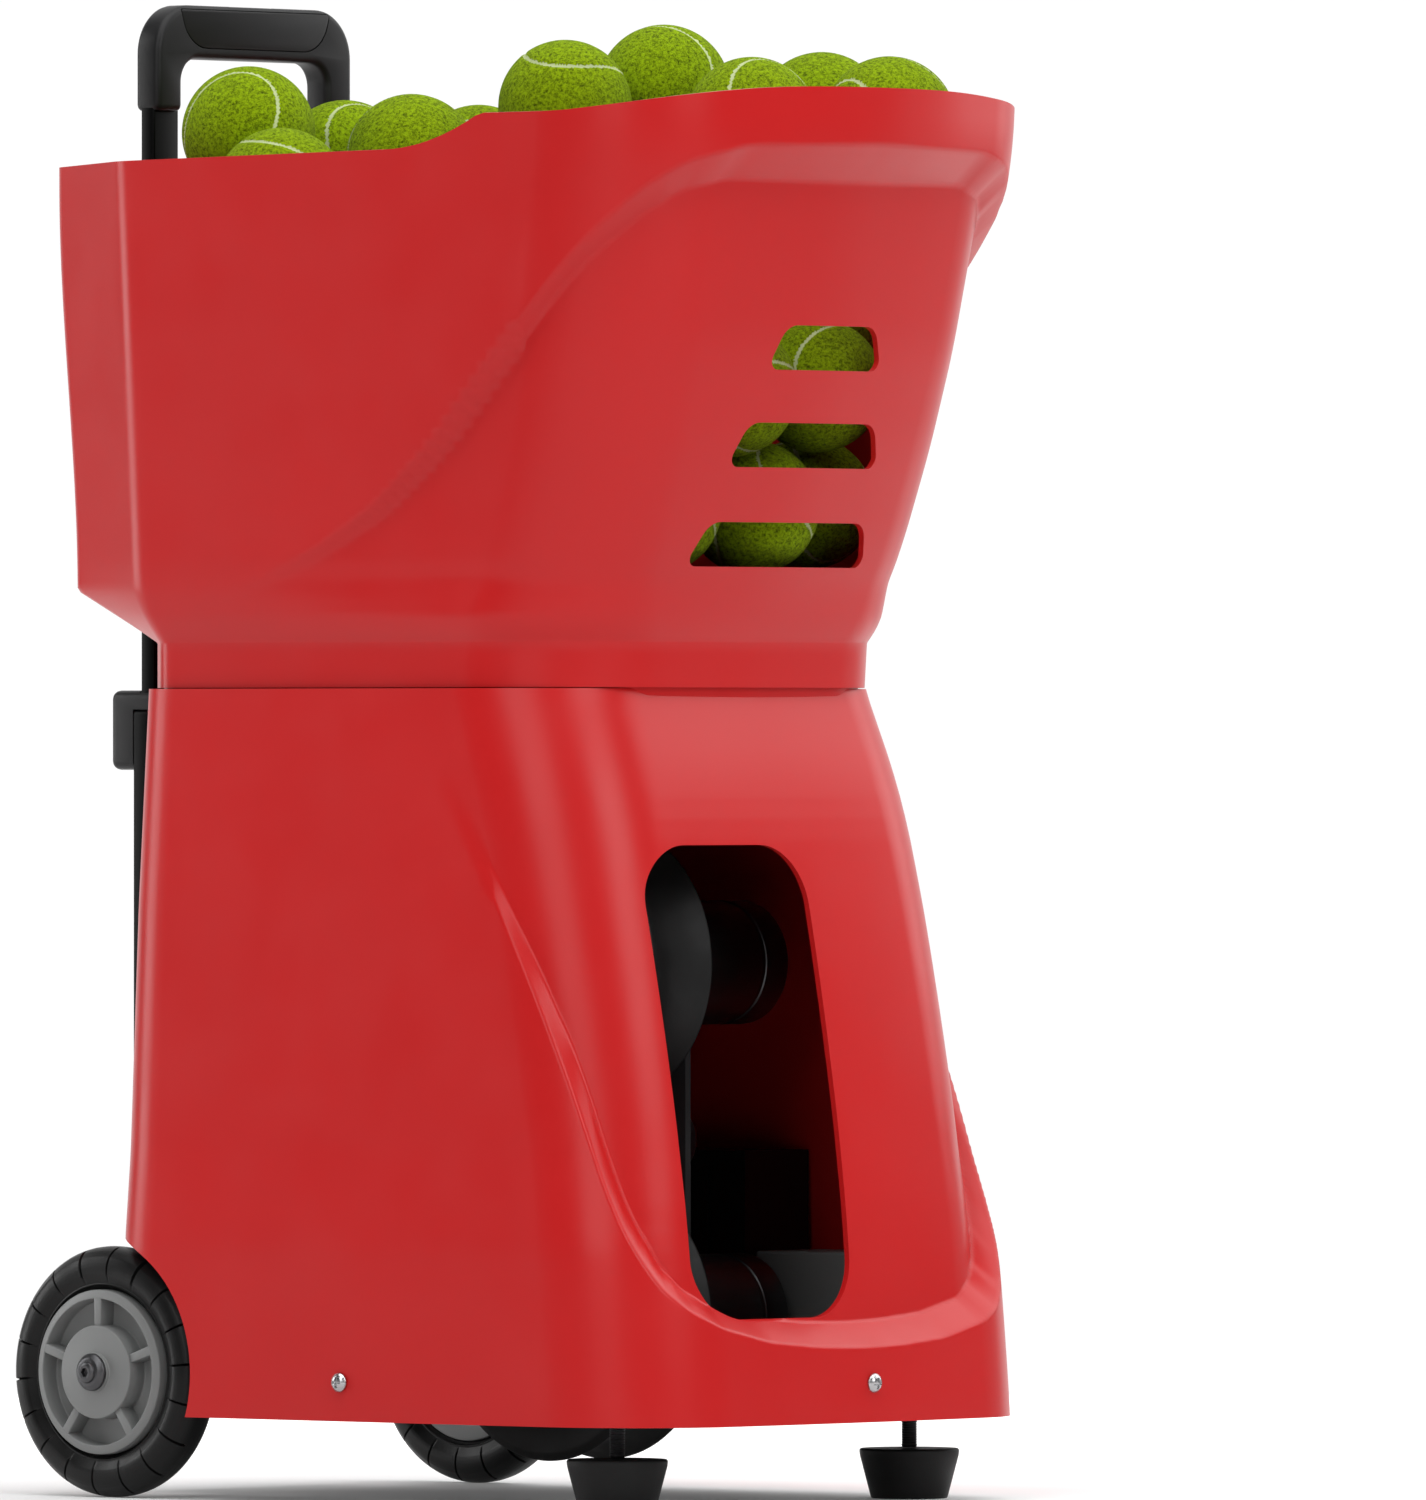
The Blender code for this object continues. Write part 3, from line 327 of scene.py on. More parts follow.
def fillet(before, corner, after, reach, steps):
    """Points of the round that replaces a corner; reach is how far it goes along both edges."""
    corner = Vector(corner)
    back = (Vector(before) - corner).normalized()
    onward = (Vector(after) - corner).normalized()
    start = corner + back * reach
    end = corner + onward * reach
    weight = math.sin(back.angle(onward, math.pi) / 2)
    points = []
    for step in range(steps + 1):
        t = step / steps
        share = (1 - t) ** 2, 2 * weight * t * (1 - t), t * t
        points.append((start * share[0] + corner * share[1] + end * share[2]) / sum(share))
    return points


def rounded_rectangle(width, height, radius, steps):
    points = []
    for quarter in range(4):
        sign_x = 1 if quarter in (0, 3) else -1
        sign_y = 1 if quarter in (0, 1) else -1
        for step in range(steps + 1):
            a = (quarter + step / steps) * math.pi / 2
            points.append((sign_x * (width / 2 - radius) + radius * math.cos(a),
                           sign_y * (height / 2 - radius) + radius * math.sin(a)))
    return points


def prism(outline, depth):
    """A solid in the XZ plane with its faces at y = -depth/2 and y = depth/2."""
    count = len(outline)
    points = [(x, -depth / 2, z) for x, z in outline] + [(x, depth / 2, z) for x, z in outline]
    faces = [tuple(range(count)), tuple(reversed(range(count, 2 * count)))]
    faces += [(i, i + count, (i + 1) % count + count, (i + 1) % count) for i in range(count)]
    mesh = bpy.data.meshes.new("prism")
    mesh.from_pydata(points, [], faces)
    obj = bpy.data.objects.new("prism", mesh)
    bpy.context.scene.collection.objects.link(obj)
    return obj


def block(low, high):
    """A plain box between two corners."""
    outline = [(low[0], low[2]), (high[0], low[2]), (high[0], high[2]), (low[0], high[2])]
    obj = prism(outline, high[1] - low[1])
    obj.data.transform(Matrix.Translation((0, (low[1] + high[1]) / 2, 0)))
    return obj


def boolean(obj, tools, operation="DIFFERENCE"):
    """Cut or join several tools at once and bake the result."""
    for tool in tools:
        change = obj.modifiers.new("cut", "BOOLEAN")
        change.operation = operation
        change.object = tool
        change.solver = "EXACT"
    applied(obj)
    for tool in tools:
        bpy.data.objects.remove(tool, do_unlink=True)
    return obj


def bevelled(obj, width, segments=3, angle=30.0):
    rounding = obj.modifiers.new("edges", "BEVEL")
    rounding.width = width
    rounding.segments = segments
    rounding.limit_method = "ANGLE"
    rounding.angle_limit = math.radians(angle)
    rounding.harden_normals = False
    return applied(obj)


# ---------------------------------------------------------------- the two red shells


def ease(value):
    value = np.clip(value, 0.0, 1.0)
    return value * value * (3 - 2 * value)


def table(z, *rows, spread=0.006):
    """Read a smooth value from (height, value) rows: straight runs with their corners eased."""
    heights = [row[0] for row in rows]
    values = [row[1] for row in rows]
    shifts = np.linspace(-spread, spread, 5)
    return float(np.mean([np.interp(z + shift, heights, values) for shift in shifts]))


def half_outline(corners, rear_step, front_step):
    """The +X half of a level outline from the rear centre to the front centre, as an array."""
    ends = [(0.0, corners[0][1])] + [c[:2] for c in corners] + [(0.0, corners[-1][1])]
    points = [Vector(ends[0])]
    for i, (x, y, reach, steps) in enumerate(corners):
        arc = fillet(ends[i], (x, y), ends[i + 2], reach, steps)
        run = front_step if i == len(corners) - 1 else rear_step
        points += divided(points[-1], arc[0], run)
        points += arc
    points += divided(points[-1], Vector(ends[-1]), front_step)
    points.append(Vector(ends[-1]))
    return np.array([tuple(p) for p in points])


def divided(start, end, steps):
    return [start.lerp(end, i / steps) for i in range(1, steps)]


def outward(half):
    """The outward normal at each point of a half outline, level."""
    along = np.gradient(half, axis=0)
    along[0] = along[1] * (1, 0)
    along[-1] = along[-2] * (1, 0)
    normal = np.stack([along[:, 1], -along[:, 0]], axis=1)
    return normal / np.linalg.norm(normal, axis=1, keepdims=True)


def from_front(half):
    """How far each point lies from the front centre, along the outline."""
    steps = np.linalg.norm(np.diff(half, axis=0), axis=1)
    return np.concatenate([np.cumsum(steps[::-1])[::-1], [0.0]])


def skin(name, halves, heights):
    """A closed skin of level half outlines, mirrored, each with its heights along it."""
    rows = []
    for half, height in zip(halves, heights):
        right = [(x, ahead(y), z) for (x, y), z in zip(half, height)]
        left = [(-x, y, z) for x, y, z in reversed(right[1:-1])]
        rows.append(right + left)
    count = len(rows[0])
    points = [point for row in rows for point in row]
    faces = []
    for level in range(len(rows) - 1):
        base = level * count
        for i in range(count):
            j = (i + 1) % count
            faces.append((base + i, base + count + i, base + count + j, base + j))
    mesh = bpy.data.meshes.new(name)
    mesh.from_pydata(points, [], faces)
    obj = bpy.data.objects.new(name, mesh)
    bpy.context.scene.collection.objects.link(obj)
    work = bmesh.new()
    work.from_mesh(mesh)
    bmesh.ops.recalc_face_normals(work, faces=work.faces)
    work.to_mesh(mesh)
    work.free()
    wall = obj.modifiers.new("wall", "SOLIDIFY")
    wall.thickness = WALL
    wall.offset = -1.0
    wall.use_even_offset = False
    return applied(obj)


def eased_rows(values, rows, spread):
    """Read (place, value) rows at many places, with the corners between the rows rounded."""
    places = [row[0] for row in rows]
    heights = [row[1] for row in rows]
    shifts = np.linspace(-spread, spread, 9)
    return np.mean([np.interp(np.abs(values + shift), places, heights) for shift in shifts], axis=0)


# Height of the scoop's outer edge, by the distance round the casing from its front centre.
SCOOP_EDGE = ((0.0, 0.0785), (0.030, 0.0792), (0.066, 0.0822), (0.099, 0.0895), (0.118, 0.098),
              (0.132, 0.1095), (0.143, 0.127), (0.150, 0.1445), (0.1545, 0.165), (0.160, 0.20),
              (0.171, 0.25), (0.185, 0.30), (0.197, 0.337), (0.220, 0.42))


def front_bulge(half, width):
    """How far the front is bowed forward, the most at its centre."""
    return FRONT_BULGE * (1 - (half[:, 0] / width) ** 2) * ease((half[:, 1] - 0.2) / 0.1)


def casing_outline(z):
    """A level outline of the casing, with the scoop pressed into its front above its edge."""
    width = table(z, (0.04, 0.158), (0.13, 0.157), (0.173, 0.153), (0.296, 0.147), (0.41, 0.139))
    front = table(z, (0.03, 0.368), (0.09, 0.3635), (0.127, 0.360), (0.173, 0.3515), (0.23, 0.339),
                  (0.296, 0.3235), (0.35, 0.3085), (0.404, 0.288), (0.42, 0.282), spread=0.022)
    half = half_outline([(width, 0.008, 0.030, 8), (width, front, CORNER_REACH, int(88 * FINE))],
                        int(70 * FINE), int(50 * FINE))
    half[:, 1] += front_bulge(half, width)
    distance = from_front(half)
    edge = eased_rows(distance, SCOOP_EDGE, 0.004)
    inside = (z - edge) / np.sqrt(1 + np.gradient(edge, distance) ** 2)
    depth = table(z, (0.12, 0.0145), (0.20, 0.0085), (0.25, 0.0055), (0.30, 0.0030), (0.35, 0.0),
                  spread=0.020)
    band = np.interp(z, (0.08, 0.14, 0.20, 0.30), (0.0135, 0.009, 0.007, 0.006))
    scoop = depth * np.clip(inside / band, 0, 1)
    return half - outward(half) * scoop[:, None]


def levels(low, high, step):
    return np.linspace(low, high, max(int(round((high - low) / step)), 1) + 1)


def lower_casing():
    heights = np.unique(np.concatenate([
        levels(CASING_BOTTOM, 0.075, 0.005), levels(0.075, 0.112, 0.0011 / FINE),
        levels(0.112, 0.350, 0.0014 / FINE), levels(0.350, CASING_TOP, 0.004)]))
    halves = [casing_outline(z) for z in heights]
    shell = skin("casing_shell", halves, [np.full(len(halves[0]), z) for z in heights])
    opening = rounded_rectangle(SLOT_WIDTH, SLOT_HEIGHT, SLOT_RADIUS, 16)
    slot = prism([(x + SLOT_X, z + SLOT_Z) for x, z in opening], 0.20)
    slot.location.y = ahead(0.34)
    tools = [slot]
    for side in (-1, 1):
        points = [(AXLE_Y + ARCH_RADIUS * math.cos(a), WHEEL_HEIGHT + ARCH_RADIUS * math.sin(a))
                  for a in np.linspace(0, 2 * math.pi, 97)[:-1]]
        arch = prism(points, WELL_DEPTH)
        arch.rotation_euler.z = math.pi / 2
        arch.location.x = side * (WELL_INNER_X + WELL_DEPTH / 2)
        tools.append(arch)
    boolean(shell, tools)
    return finish_piece(shell, "red_plastic", "base", 62.0, ("lower_casing",))


def seam_lip():
    """The casing's inner lip, which closes the seam between the casing and the hopper."""
    heights = levels(CASING_TOP - 0.006, CASING_TOP + 0.006, 0.004)
    half = hopper_outline(HOPPER_BOTTOM)
    half -= outward(half) * (WALL + 0.0003)
    lip = skin("seam_lip", [half] * len(heights), [np.full(len(half), z) for z in heights])
    finish_piece(lip, "red_plastic", "base", 40.0)


def hopper_outline(z):
    """A level outline of the hopper without its rim's uneven height."""
    bend = 0.0004 + 0.0116 * float(ease((z - 0.434) / 0.03))
    grown = table(z, (0.40, 0.0), (NECK_TOP, 0.0), (0.4535, 1.0), (0.70, 1.0), spread=0.0004)
    width = table(z, (0.40, 0.134), (0.427, 0.134), (0.44, 0.141), (0.455, 0.1455), (0.70, 0.161),
                  spread=bend)
    front = table(z, (0.39, 0.2920), (NECK_TOP, 0.2945), (0.475, 0.3155), (0.524, 0.3315), (0.572, 0.344),
                  (0.648, 0.358), (0.672, 0.362), (0.72, 0.363), spread=bend)
    channel = 0.010 - 0.030 * grown
    rear = 0.010 - 0.055 * grown - 0.012 * float(ease((z - 0.455) / 0.2)) * grown
    corners = [
        (0.082, channel, 0.0035, 6),
        (0.090 + 0.002 * grown, rear, 0.0035, 6),
        (0.118 + 0.002 * grown, rear, 0.009, 8),
        (width, 0.028 - 0.006 * grown, 0.005, 6),
        (width, front, 0.064, int(88 * FINE)),
    ]
    half = half_outline(corners, int(60 * FINE), int(50 * FINE))
    half[:, 1] += front_bulge(half, width)
    return half


# Height of the ledge and crease, by the distance round the hopper from its front centre.
LEDGE = ((0.0, 0.672), (0.09, 0.670), (0.12, 0.662), (0.14, 0.648), (0.155, 0.632), (0.170, 0.6145),
         (0.206, 0.567), (0.234, 0.5245), (0.261, 0.4945), (0.295, 0.472), (0.329, 0.455), (0.36, 0.443))


def relieved(half, z):
    """Press the front panel in below the ledge, and carry the visor out above it."""
    distance = from_front(half)
    edge = eased_rows(distance, LEDGE, 0.006)
    below = (edge - z) / np.sqrt(1 + np.gradient(edge, distance) ** 2)
    band = eased_rows(distance, ((0.0, 0.0185), (0.12, 0.015), (0.17, 0.006), (0.23, 0.0035)), 0.012)
    recessed = np.clip(below / band, 0, 1)
    visor = eased_rows(distance, ((0.0, 0.0180), (0.05, 0.0150), (0.12, 0.0065), (0.18, 0.0)), 0.02)
    inset = eased_rows(distance, ((0.0, 0.001), (0.08, 0.004), (0.14, 0.0080), (0.20, 0.0075),
                                  (0.26, 0.0050), (0.34, 0.0)), 0.02)
    shift = visor * (1 - recessed) - inset * recessed * ease((z - 0.43) / 0.03)
    return half + outward(half) * shift[:, None]


def rim_height(half):
    """The top edge: high round the front, a step down at each side, then a slow fall to the rear."""
    x, distance = half[:, 0], half[:, 1]
    rear_part = 0.6697 - 0.0147 * (0.2 - distance)
    front_part = 0.6865 + 0.0135 * (1 - (x / 0.161) ** 3) * ease((distance - 0.28) / 0.05)
    step = np.clip((distance - 0.201) / 0.062, 0, 1) ** 2
    return rear_part + (front_part - rear_part) * step


def vent_cutter(z, width):
    """A slanted-ended slot for one vent."""
    half, slant, rise = width / 2, 0.0048, VENT_HALF_HEIGHT
    corners = [(half, -rise), (half - 2 * slant, rise), (-half + 2 * slant, rise), (-half, -rise)]
    outline = []
    for i, corner in enumerate(corners):
        outline += [tuple(p) for p in fillet(corners[i - 1], corner, corners[(i + 1) % 4], 0.0075, 8)]
    cutter = prism(outline, 0.12)
    cutter.location = (0.002, ahead(0.34), z)
    return cutter


def rim_rows():
    """The outlines and heights from the last level outline up to the uneven rim."""
    rows = int(44 * FINE)
    top = rim_height(hopper_outline(RIM_SHAPE_Z))
    flat = levels(LAST_LEVEL, RIM_TOP, 0.001)
    stack = np.array([relieved(hopper_outline(z), z) for z in flat])
    columns = np.arange(stack.shape[1])
    halves, heights = [], []
    for row in range(1, rows + 1):
        wanted = LAST_LEVEL + (top - LAST_LEVEL) * row / rows
        place = (wanted - flat[0]) / (flat[1] - flat[0])
        under = np.clip(np.floor(place).astype(int), 0, len(flat) - 2)
        part = (place - under)[:, None]
        halves.append(stack[under, columns] * (1 - part) + stack[under + 1, columns] * part)
        heights.append(wanted)
    return halves, heights


def hopper():
    low = np.unique(np.concatenate([
        levels(HOPPER_BOTTOM, NECK_TOP - 0.0005, 0.006), levels(NECK_TOP + 0.0005, 0.470, 0.0025),
        levels(0.470, LAST_LEVEL, 0.0014 / FINE)]))
    halves = [relieved(hopper_outline(z), z) for z in low]
    heights = [np.full(len(halves[0]), z) for z in low]
    rim_halves, rim_heights = rim_rows()
    shell = skin("hopper_shell", halves + rim_halves, heights + rim_heights)
    boolean(shell, [vent_cutter(z, width) for z, width in VENTS])
    return finish_piece(shell, "red_plastic", "base", 62.0, ("hopper_bin",))


# ---------------------------------------------------------------- trolley wheels


def slit_tyre(side, node):
    """A tyre with a slit across its shoulder every 20 degrees and a step round each wall."""
    centre = middle(node)
    half = (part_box(node)[1][0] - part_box(node)[0][0]) / 2
    outer, bead, girth = 0.06275, 0.0414, 0.0515
    profile = [(bead, half - 0.0050), (0.0430, half - 0.0040), (0.0437, half - 0.0022),
               (0.0445, half - 0.0026)]
    for step in range(1, 24):
        a = math.pi * (0.62 - 1.24 * step / 24)
        wide = half - 0.0004 * (abs(math.cos(a)) > 0.62)
        across = wide * math.copysign(abs(math.sin(a)) ** 0.8, a)
        profile.append((girth + (outer - girth) * math.cos(a), across))
    profile += [(r, -h) for r, h in reversed(profile[:4])]

    def slits(angle, radius, height):
        turn = (math.degrees(angle) + 5) % 20
        reach = ease((radius - 0.0455) / 0.0015) * ease((abs(height) - 0.0035) / 0.002)
        if turn < 1.0 and reach > 0:
            return radius - 0.0014 * reach, height - math.copysign(0.0012 * reach, height)
        return radius, height

    lathe("tyre_" + side + "_rubber", profile, centre, "X", "tyre", body_of(node), (node,),
          steps=int(540 * FINE), soft=0.0005, sharp=38.0, shape=slits)


def hub(side, node):
    """The grey hub: rim ring, recessed web, five spokes and a raised centre."""
    sign = -1 if side == "left" else 1
    centre = (sign * HUB_X, middle(node)[1], middle(node)[2])
    face = HUB_FACE_X - HUB_X
    profile = [(0.0095, face), (0.0095, face - 0.0020), (0.0233, face - 0.0020), (0.0236, face - 0.0130),
               (0.0363, face - 0.0130), (0.0367, face - 0.0030), (0.0412, face - 0.0045), (0.0412, -0.009),
               (0.0330, -0.009), (0.0310, -0.002), (0.0200, -0.002), (0.0190, -0.015), (0.0055, -0.015),
               (0.0055, face)]
    axis = "X" if sign > 0 else "-X"
    lathe("wheel_hub_" + side + "_moulding", profile, centre, axis, "hub_grey", body_of(node), (node,),
          steps=128, soft=0.0007, sharp=35.0)
    for i in range(SPOKES):
        angle = math.radians(90 + 360 / SPOKES * i)
        inner, outer = 0.0225, 0.0378
        taper = [(inner, -0.00215), (outer, -0.0024), (outer, 0.0024), (inner, 0.00215)]
        spoke = prism(taper, 0.0110)
        bevelled(spoke, 0.0006)
        spoke.data.transform(Matrix.Rotation(math.pi / 2, 4, "Z"))
        spoke.data.transform(Matrix.Rotation(angle, 4, "X"))
        spoke.data.transform(Matrix.Translation((sign * (HUB_FACE_X - 0.0088), centre[1], centre[2])))
        spoke.name = "wheel_spoke_%s_%d" % (side, i + 1)
        finish_piece(spoke, "hub_grey", body_of(node))
    cap = "axle_cap_" + side
    dome = [(0.0052, 0.0040), (0.0070, 0.0036), (0.0092, 0.0016), (0.0096, 0.0), (0.0052, 0.0)]
    lathe(cap + "_dome", dome, (sign * 0.1544, centre[1], centre[2]), axis, "motor_steel", "base", (cap,),
          steps=64, soft=0.0004)


def axle_nut(side):
    """The nut on the axle's end, with a six-sided socket."""
    _, y, z = middle("axle")
    profile = [(0.0, 0.0012), (0.0022, 0.0012), (0.0024, 0.0036), (0.0036, 0.0036), (0.0050, 0.0028),
               (0.0054, 0.0016), (0.0054, 0.0), (0.0, 0.0)]

    def socket(angle, radius, height):
        flat = math.cos(math.pi / 6) / math.cos(angle % (math.pi / 3) - math.pi / 6)
        return (radius * flat if radius < 0.0030 else radius), height

    x = 0.1566 if side == "right" else -0.1566
    lathe("axle_nut_" + side, profile, (x, y, z), "X" if side == "right" else "-X", "motor_steel", "base",
          steps=72, soft=0.0002, shape=socket)


def trolley_wheels():
    for side in ("left", "right"):
        slit_tyre(side, "tyre_" + side)
        hub(side, "wheel_hub_" + side)
        axle_nut(side)
    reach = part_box("axle")[1][0]
    ends = [(0.0022, reach - 0.0030), (0.0022, reach), (0.0040, reach), (0.0048, reach - 0.0008),
            (0.0048, -reach + 0.0008), (0.0040, -reach), (0.0022, -reach), (0.0022, -reach + 0.0030)]
    profile = [(0.0, reach - 0.0030)] + ends + [(0.0, -reach + 0.0030)]
    lathe("axle_bar", profile, (0, middle("axle")[1], middle("axle")[2]), "X", "bright_steel", "base",
          ("axle",), steps=48, soft=0.0003)


# ---------------------------------------------------------------- feet and screws


def feet():
    for side in ("left", "right"):
        pad = "foot_pad_" + side
        x, y, _ = middle(pad)
        profile = [(0.0, 0.0246), (0.0060, 0.0246), (0.0066, 0.0250), (0.0243, 0.0250), (0.0250, 0.0240),
                   (0.0247, 0.0215), (0.0192, 0.0006), (0.0186, 0.0), (0.0, 0.0)]
        lathe(pad + "_rubber", profile, (x, y, 0), "Z", "rubber", body_of(pad), (pad,), steps=96,
              soft=0.0006)
        rod = "foot_rod_" + side
        low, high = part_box(rod)
        profile = [(0.0, high[2])]
        pitch = 0.00125
        turns = int((high[2] - low[2]) / pitch)
        for i in range(turns):
            top = high[2] - i * pitch
            profile += [(0.0035, top), (0.0040, top - pitch * 0.5)]
        profile += [(0.0035, low[2]), (0.0, low[2])]
        # The threaded rods are bright steel but take the dark motor_steel finish here: painted shade for
        # the shadow they stand in under the casing.
        lathe(rod + "_thread", profile, (x, y, 0), "Z", "motor_steel", body_of(rod), (rod,), steps=40,
              soft=0.0001, sharp=60.0)


def screws():
    """Domed screws, each with a cross recess pressed into its head."""
    for name, axis, foot in (("left", "-X", -0.1582), ("right", "X", 0.1582)):
        node = "casing_screw_" + name
        _, y, z = middle(node)
        screw_head(node, (foot, y, z), axis, 0.0)
    node = "casing_screw_front"
    x, _, z = middle(node)
    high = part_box(node)[1]
    screw_head(node, (x, high[1], z), "Y", math.radians(4.5))
    node = "casing_screw_rear"
    x, _, z = middle(node)
    screw_head(node, (x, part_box(node)[0][1], z), "Y", math.pi)


def screw_head(node, centre, axis, tip):
    profile = [(0.0, 0.0030), (0.0010, 0.0030), (0.0020, 0.0029), (0.0030, 0.0025), (0.0039, 0.0018),
               (0.0047, 0.0008), (0.0049, 0.0), (0.0, 0.0)]

    def cross(angle, radius, height):
        u, v = abs(radius * math.cos(angle)), abs(radius * math.sin(angle))
        in_cross = min(u, v) < 0.0006 and max(u, v) < 0.0028 and height > 0.0014
        return radius, height - 0.0010 * in_cross

    head = lathe(node + "_head", profile, (0, 0, 0), axis, "bright_steel", "base", (node,), steps=72,
                 soft=0.0002, shape=cross)
    head.data.transform(Matrix.Rotation(tip, 4, "X"))
    head.data.transform(Matrix.Translation(centre))


# ---------------------------------------------------------------- trolley handle


def handle():
    """The grip with its curved inlay and button; the rounded blocks and tubes below it are made by
    rounded_blocks.
    """
    low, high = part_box("handle_grip")
    y = (low[1] + high[1]) / 2
    top = high[2]
    depth = high[1] - low[1]
    outline = rounded_rectangle(high[0] - low[0], (top - low[2]) * 2, 0.025, 16)
    grip = prism([(x, z + low[2]) for x, z in outline], depth)
    grip.location.y = y
    hand = prism([(x, z + 0.677) for x, z in rounded_rectangle(0.109, 0.090, 0.012, 12)], 0.06)
    hand.location.y = y
    below = block((-0.1, y - 0.05, low[2] - 0.2), (0.1, y + 0.05, low[2]))
    boolean(grip, [hand, below])
    bevelled(grip, 0.0035, 4, 60.0)
    pocket = block((-0.0166, y - 0.0052, top - 0.008), (0.0166, y + 0.0052, top + 0.01))
    groove = prism(inlay_outline(0.0004), 0.0036)
    groove.location.y = low[1]
    boolean(grip, [pocket, groove])
    finish_piece(grip, "black_plastic", "handle", 35.0, ("handle_grip",))
    panel = prism(inlay_outline(0.0), 0.0018)
    panel.location.y = low[1] + 0.0009
    panel.name = "grip_inlay"
    bevelled(panel, 0.0005, 2)
    finish_piece(panel, "black_plastic", "handle", 35.0, ("grip_insert",))
    button_low, button_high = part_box("release_button")
    button = block(button_low, button_high)
    button.name = "release_button_cap"
    bevelled(button, 0.0012, 4)
    finish_piece(button, "black_plastic", "button", 35.0, ("release_button",))


def inlay_outline(spare):
    """The grip's front inlay: a shallow bowl under the top edge, larger all round by the spare."""
    top, bottom = 0.0560 + spare, 0.0500 + spare
    low, high = 0.7275 - spare, 0.7468 + spare
    corners = ((top, high, 0.002), (-top, high, 0.002), (-bottom, low, 0.014), (bottom, low, 0.014))
    points = []
    for i, (x, z, reach) in enumerate(corners):
        before, after = corners[i - 1][:2], corners[(i + 1) % 4][:2]
        points += [tuple(p) for p in fillet(before, (x, z), after, reach, 8)]
    return points


def rounded_blocks():
    """Rounded copies of the plain blocks and tubes that show on the outside."""
    for node in ("upper_bracket", "axle_bracket"):
        low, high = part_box(node)
        piece = block(low, high)
        piece.name = node + "_block"
        bevelled(piece, 0.0045, 5)
        tools = []
        for side in ("left", "right"):
            tube_low, tube_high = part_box("handle_tube_" + side)
            gap = Vector((0.0004, 0.0004, 0.0004))
            tools.append(block(Vector(tube_low) - gap, Vector(tube_high) + gap))
            if node == "upper_bracket":
                rod_low, rod_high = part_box("handle_rod_" + side)
                tools.append(block(Vector(rod_low) - gap, Vector(rod_high) + gap))
        boolean(piece, tools)
        finish_piece(piece, "black_plastic", "base", 35.0, (node,))
    for side in ("left", "right"):
        for kind, body, width in (("handle_tube_", "base", 0.0020), ("handle_rod_", "handle", 0.0014)):
            low, high = [list(corner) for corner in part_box(kind + side)]
            if body == "handle":
                high[2] += 0.004
            piece = block(low, high)
            piece.name = kind + side + "_profile"
            bevelled(piece, width, 3)
            finish_piece(piece, "black_aluminium", body, 35.0, (kind + side,))


# ---------------------------------------------------------------- launching head


def launch_wheels():
    for name in ("upper", "lower"):
        node = name + "_launch_wheel_tread"
        centre = middle(node)
        half, radius = 0.025, 0.070
        profile = [(0.0524, half - 0.0004), (radius - 0.0042, half)]
        for step in range(15):
            across = (half - 0.003) * (1 - step / 7)
            hollow = 0.008 * (1 - (across / (half - 0.003)) ** 2)
            profile.append((radius - hollow, across))
        profile += [(radius - 0.0042, -half), (0.0524, -half + 0.0004)]
        lathe(node + "_rubber", profile, centre, "X", "rubber", body_of(node), (node,), steps=160,
              soft=0.0010)
        node = name + "_launch_wheel_core"
        core = [(0.052, 0.023), (0.052, -0.023), (0.045, -0.023), (0.043, -0.015), (0.018, -0.015),
                (0.016, -0.023), (0.0044, -0.023), (0.0044, 0.023), (0.016, 0.023), (0.018, 0.015),
                (0.043, 0.015), (0.045, 0.023)]
        lathe(node + "_turning", core, centre, "X", "aluminium", body_of(node), (node,), steps=128,
              soft=0.0008)
        node = name + "_motor"
        start, end = [corner[0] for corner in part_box(node)]
        can = [(0.0045, start), (0.029, start), (0.031, start + 0.002), (0.031, end - 0.024),
               (0.0302, end - 0.0235), (0.0302, end - 0.0205), (0.031, end - 0.020), (0.031, end - 0.004),
               (0.027, end), (0.010, end), (0.009, end - 0.003), (0.0, end - 0.003), (0.0, start + 0.020),
               (0.0045, start + 0.020)]
        can = can[-2:] + can[:-2]
        lathe(node + "_can", can, (0, middle(node)[1], middle(node)[2]), "X", "motor_steel", body_of(node),
              (node,), steps=128, soft=0.0008)


def feeder_cap():
    node = "feeder_cap"
    profile = [(0.0, 0.020), (0.006, 0.0192), (0.012, 0.0160), (0.017, 0.0100), (0.0205, 0.0015),
               (0.0205, 0.0), (0.0, 0.0)]
    x, y, _ = middle(node)
    foot = (x, y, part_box(node)[0][2])
    lathe(node + "_dome", profile, foot, "Z", "black_plastic", "feeder_wheel", (node,), steps=72)


# ---------------------------------------------------------------- loose balls in the hopper

# Balls that show above the rim: how far across and ahead their centres lie, and their height.
TOP_BALLS = (
    (-0.0776, 0.036, 0.6826),
    (-0.0120, 0.042, 0.6670),
    (-0.0300, 0.103, 0.6685),
    (0.0112, 0.169, 0.6952),
    (0.0750, 0.179, 0.7042),
    (0.0400, 0.086, 0.6650),
    (-0.1000, 0.078, 0.6505),
    (0.0450, 0.263, 0.6855),
    (0.1150, 0.249, 0.6900),
    (0.0827, 0.321, 0.6855),
)
# Balls that show through the vents, in the same way.
VENT_BALLS = (
    (-0.0450, 0.277, 0.494),
    (0.0220, 0.283, 0.494),
    (0.0890, 0.262, 0.497),
    (-0.0120, 0.298, 0.552),
    (0.0560, 0.296, 0.555),
)


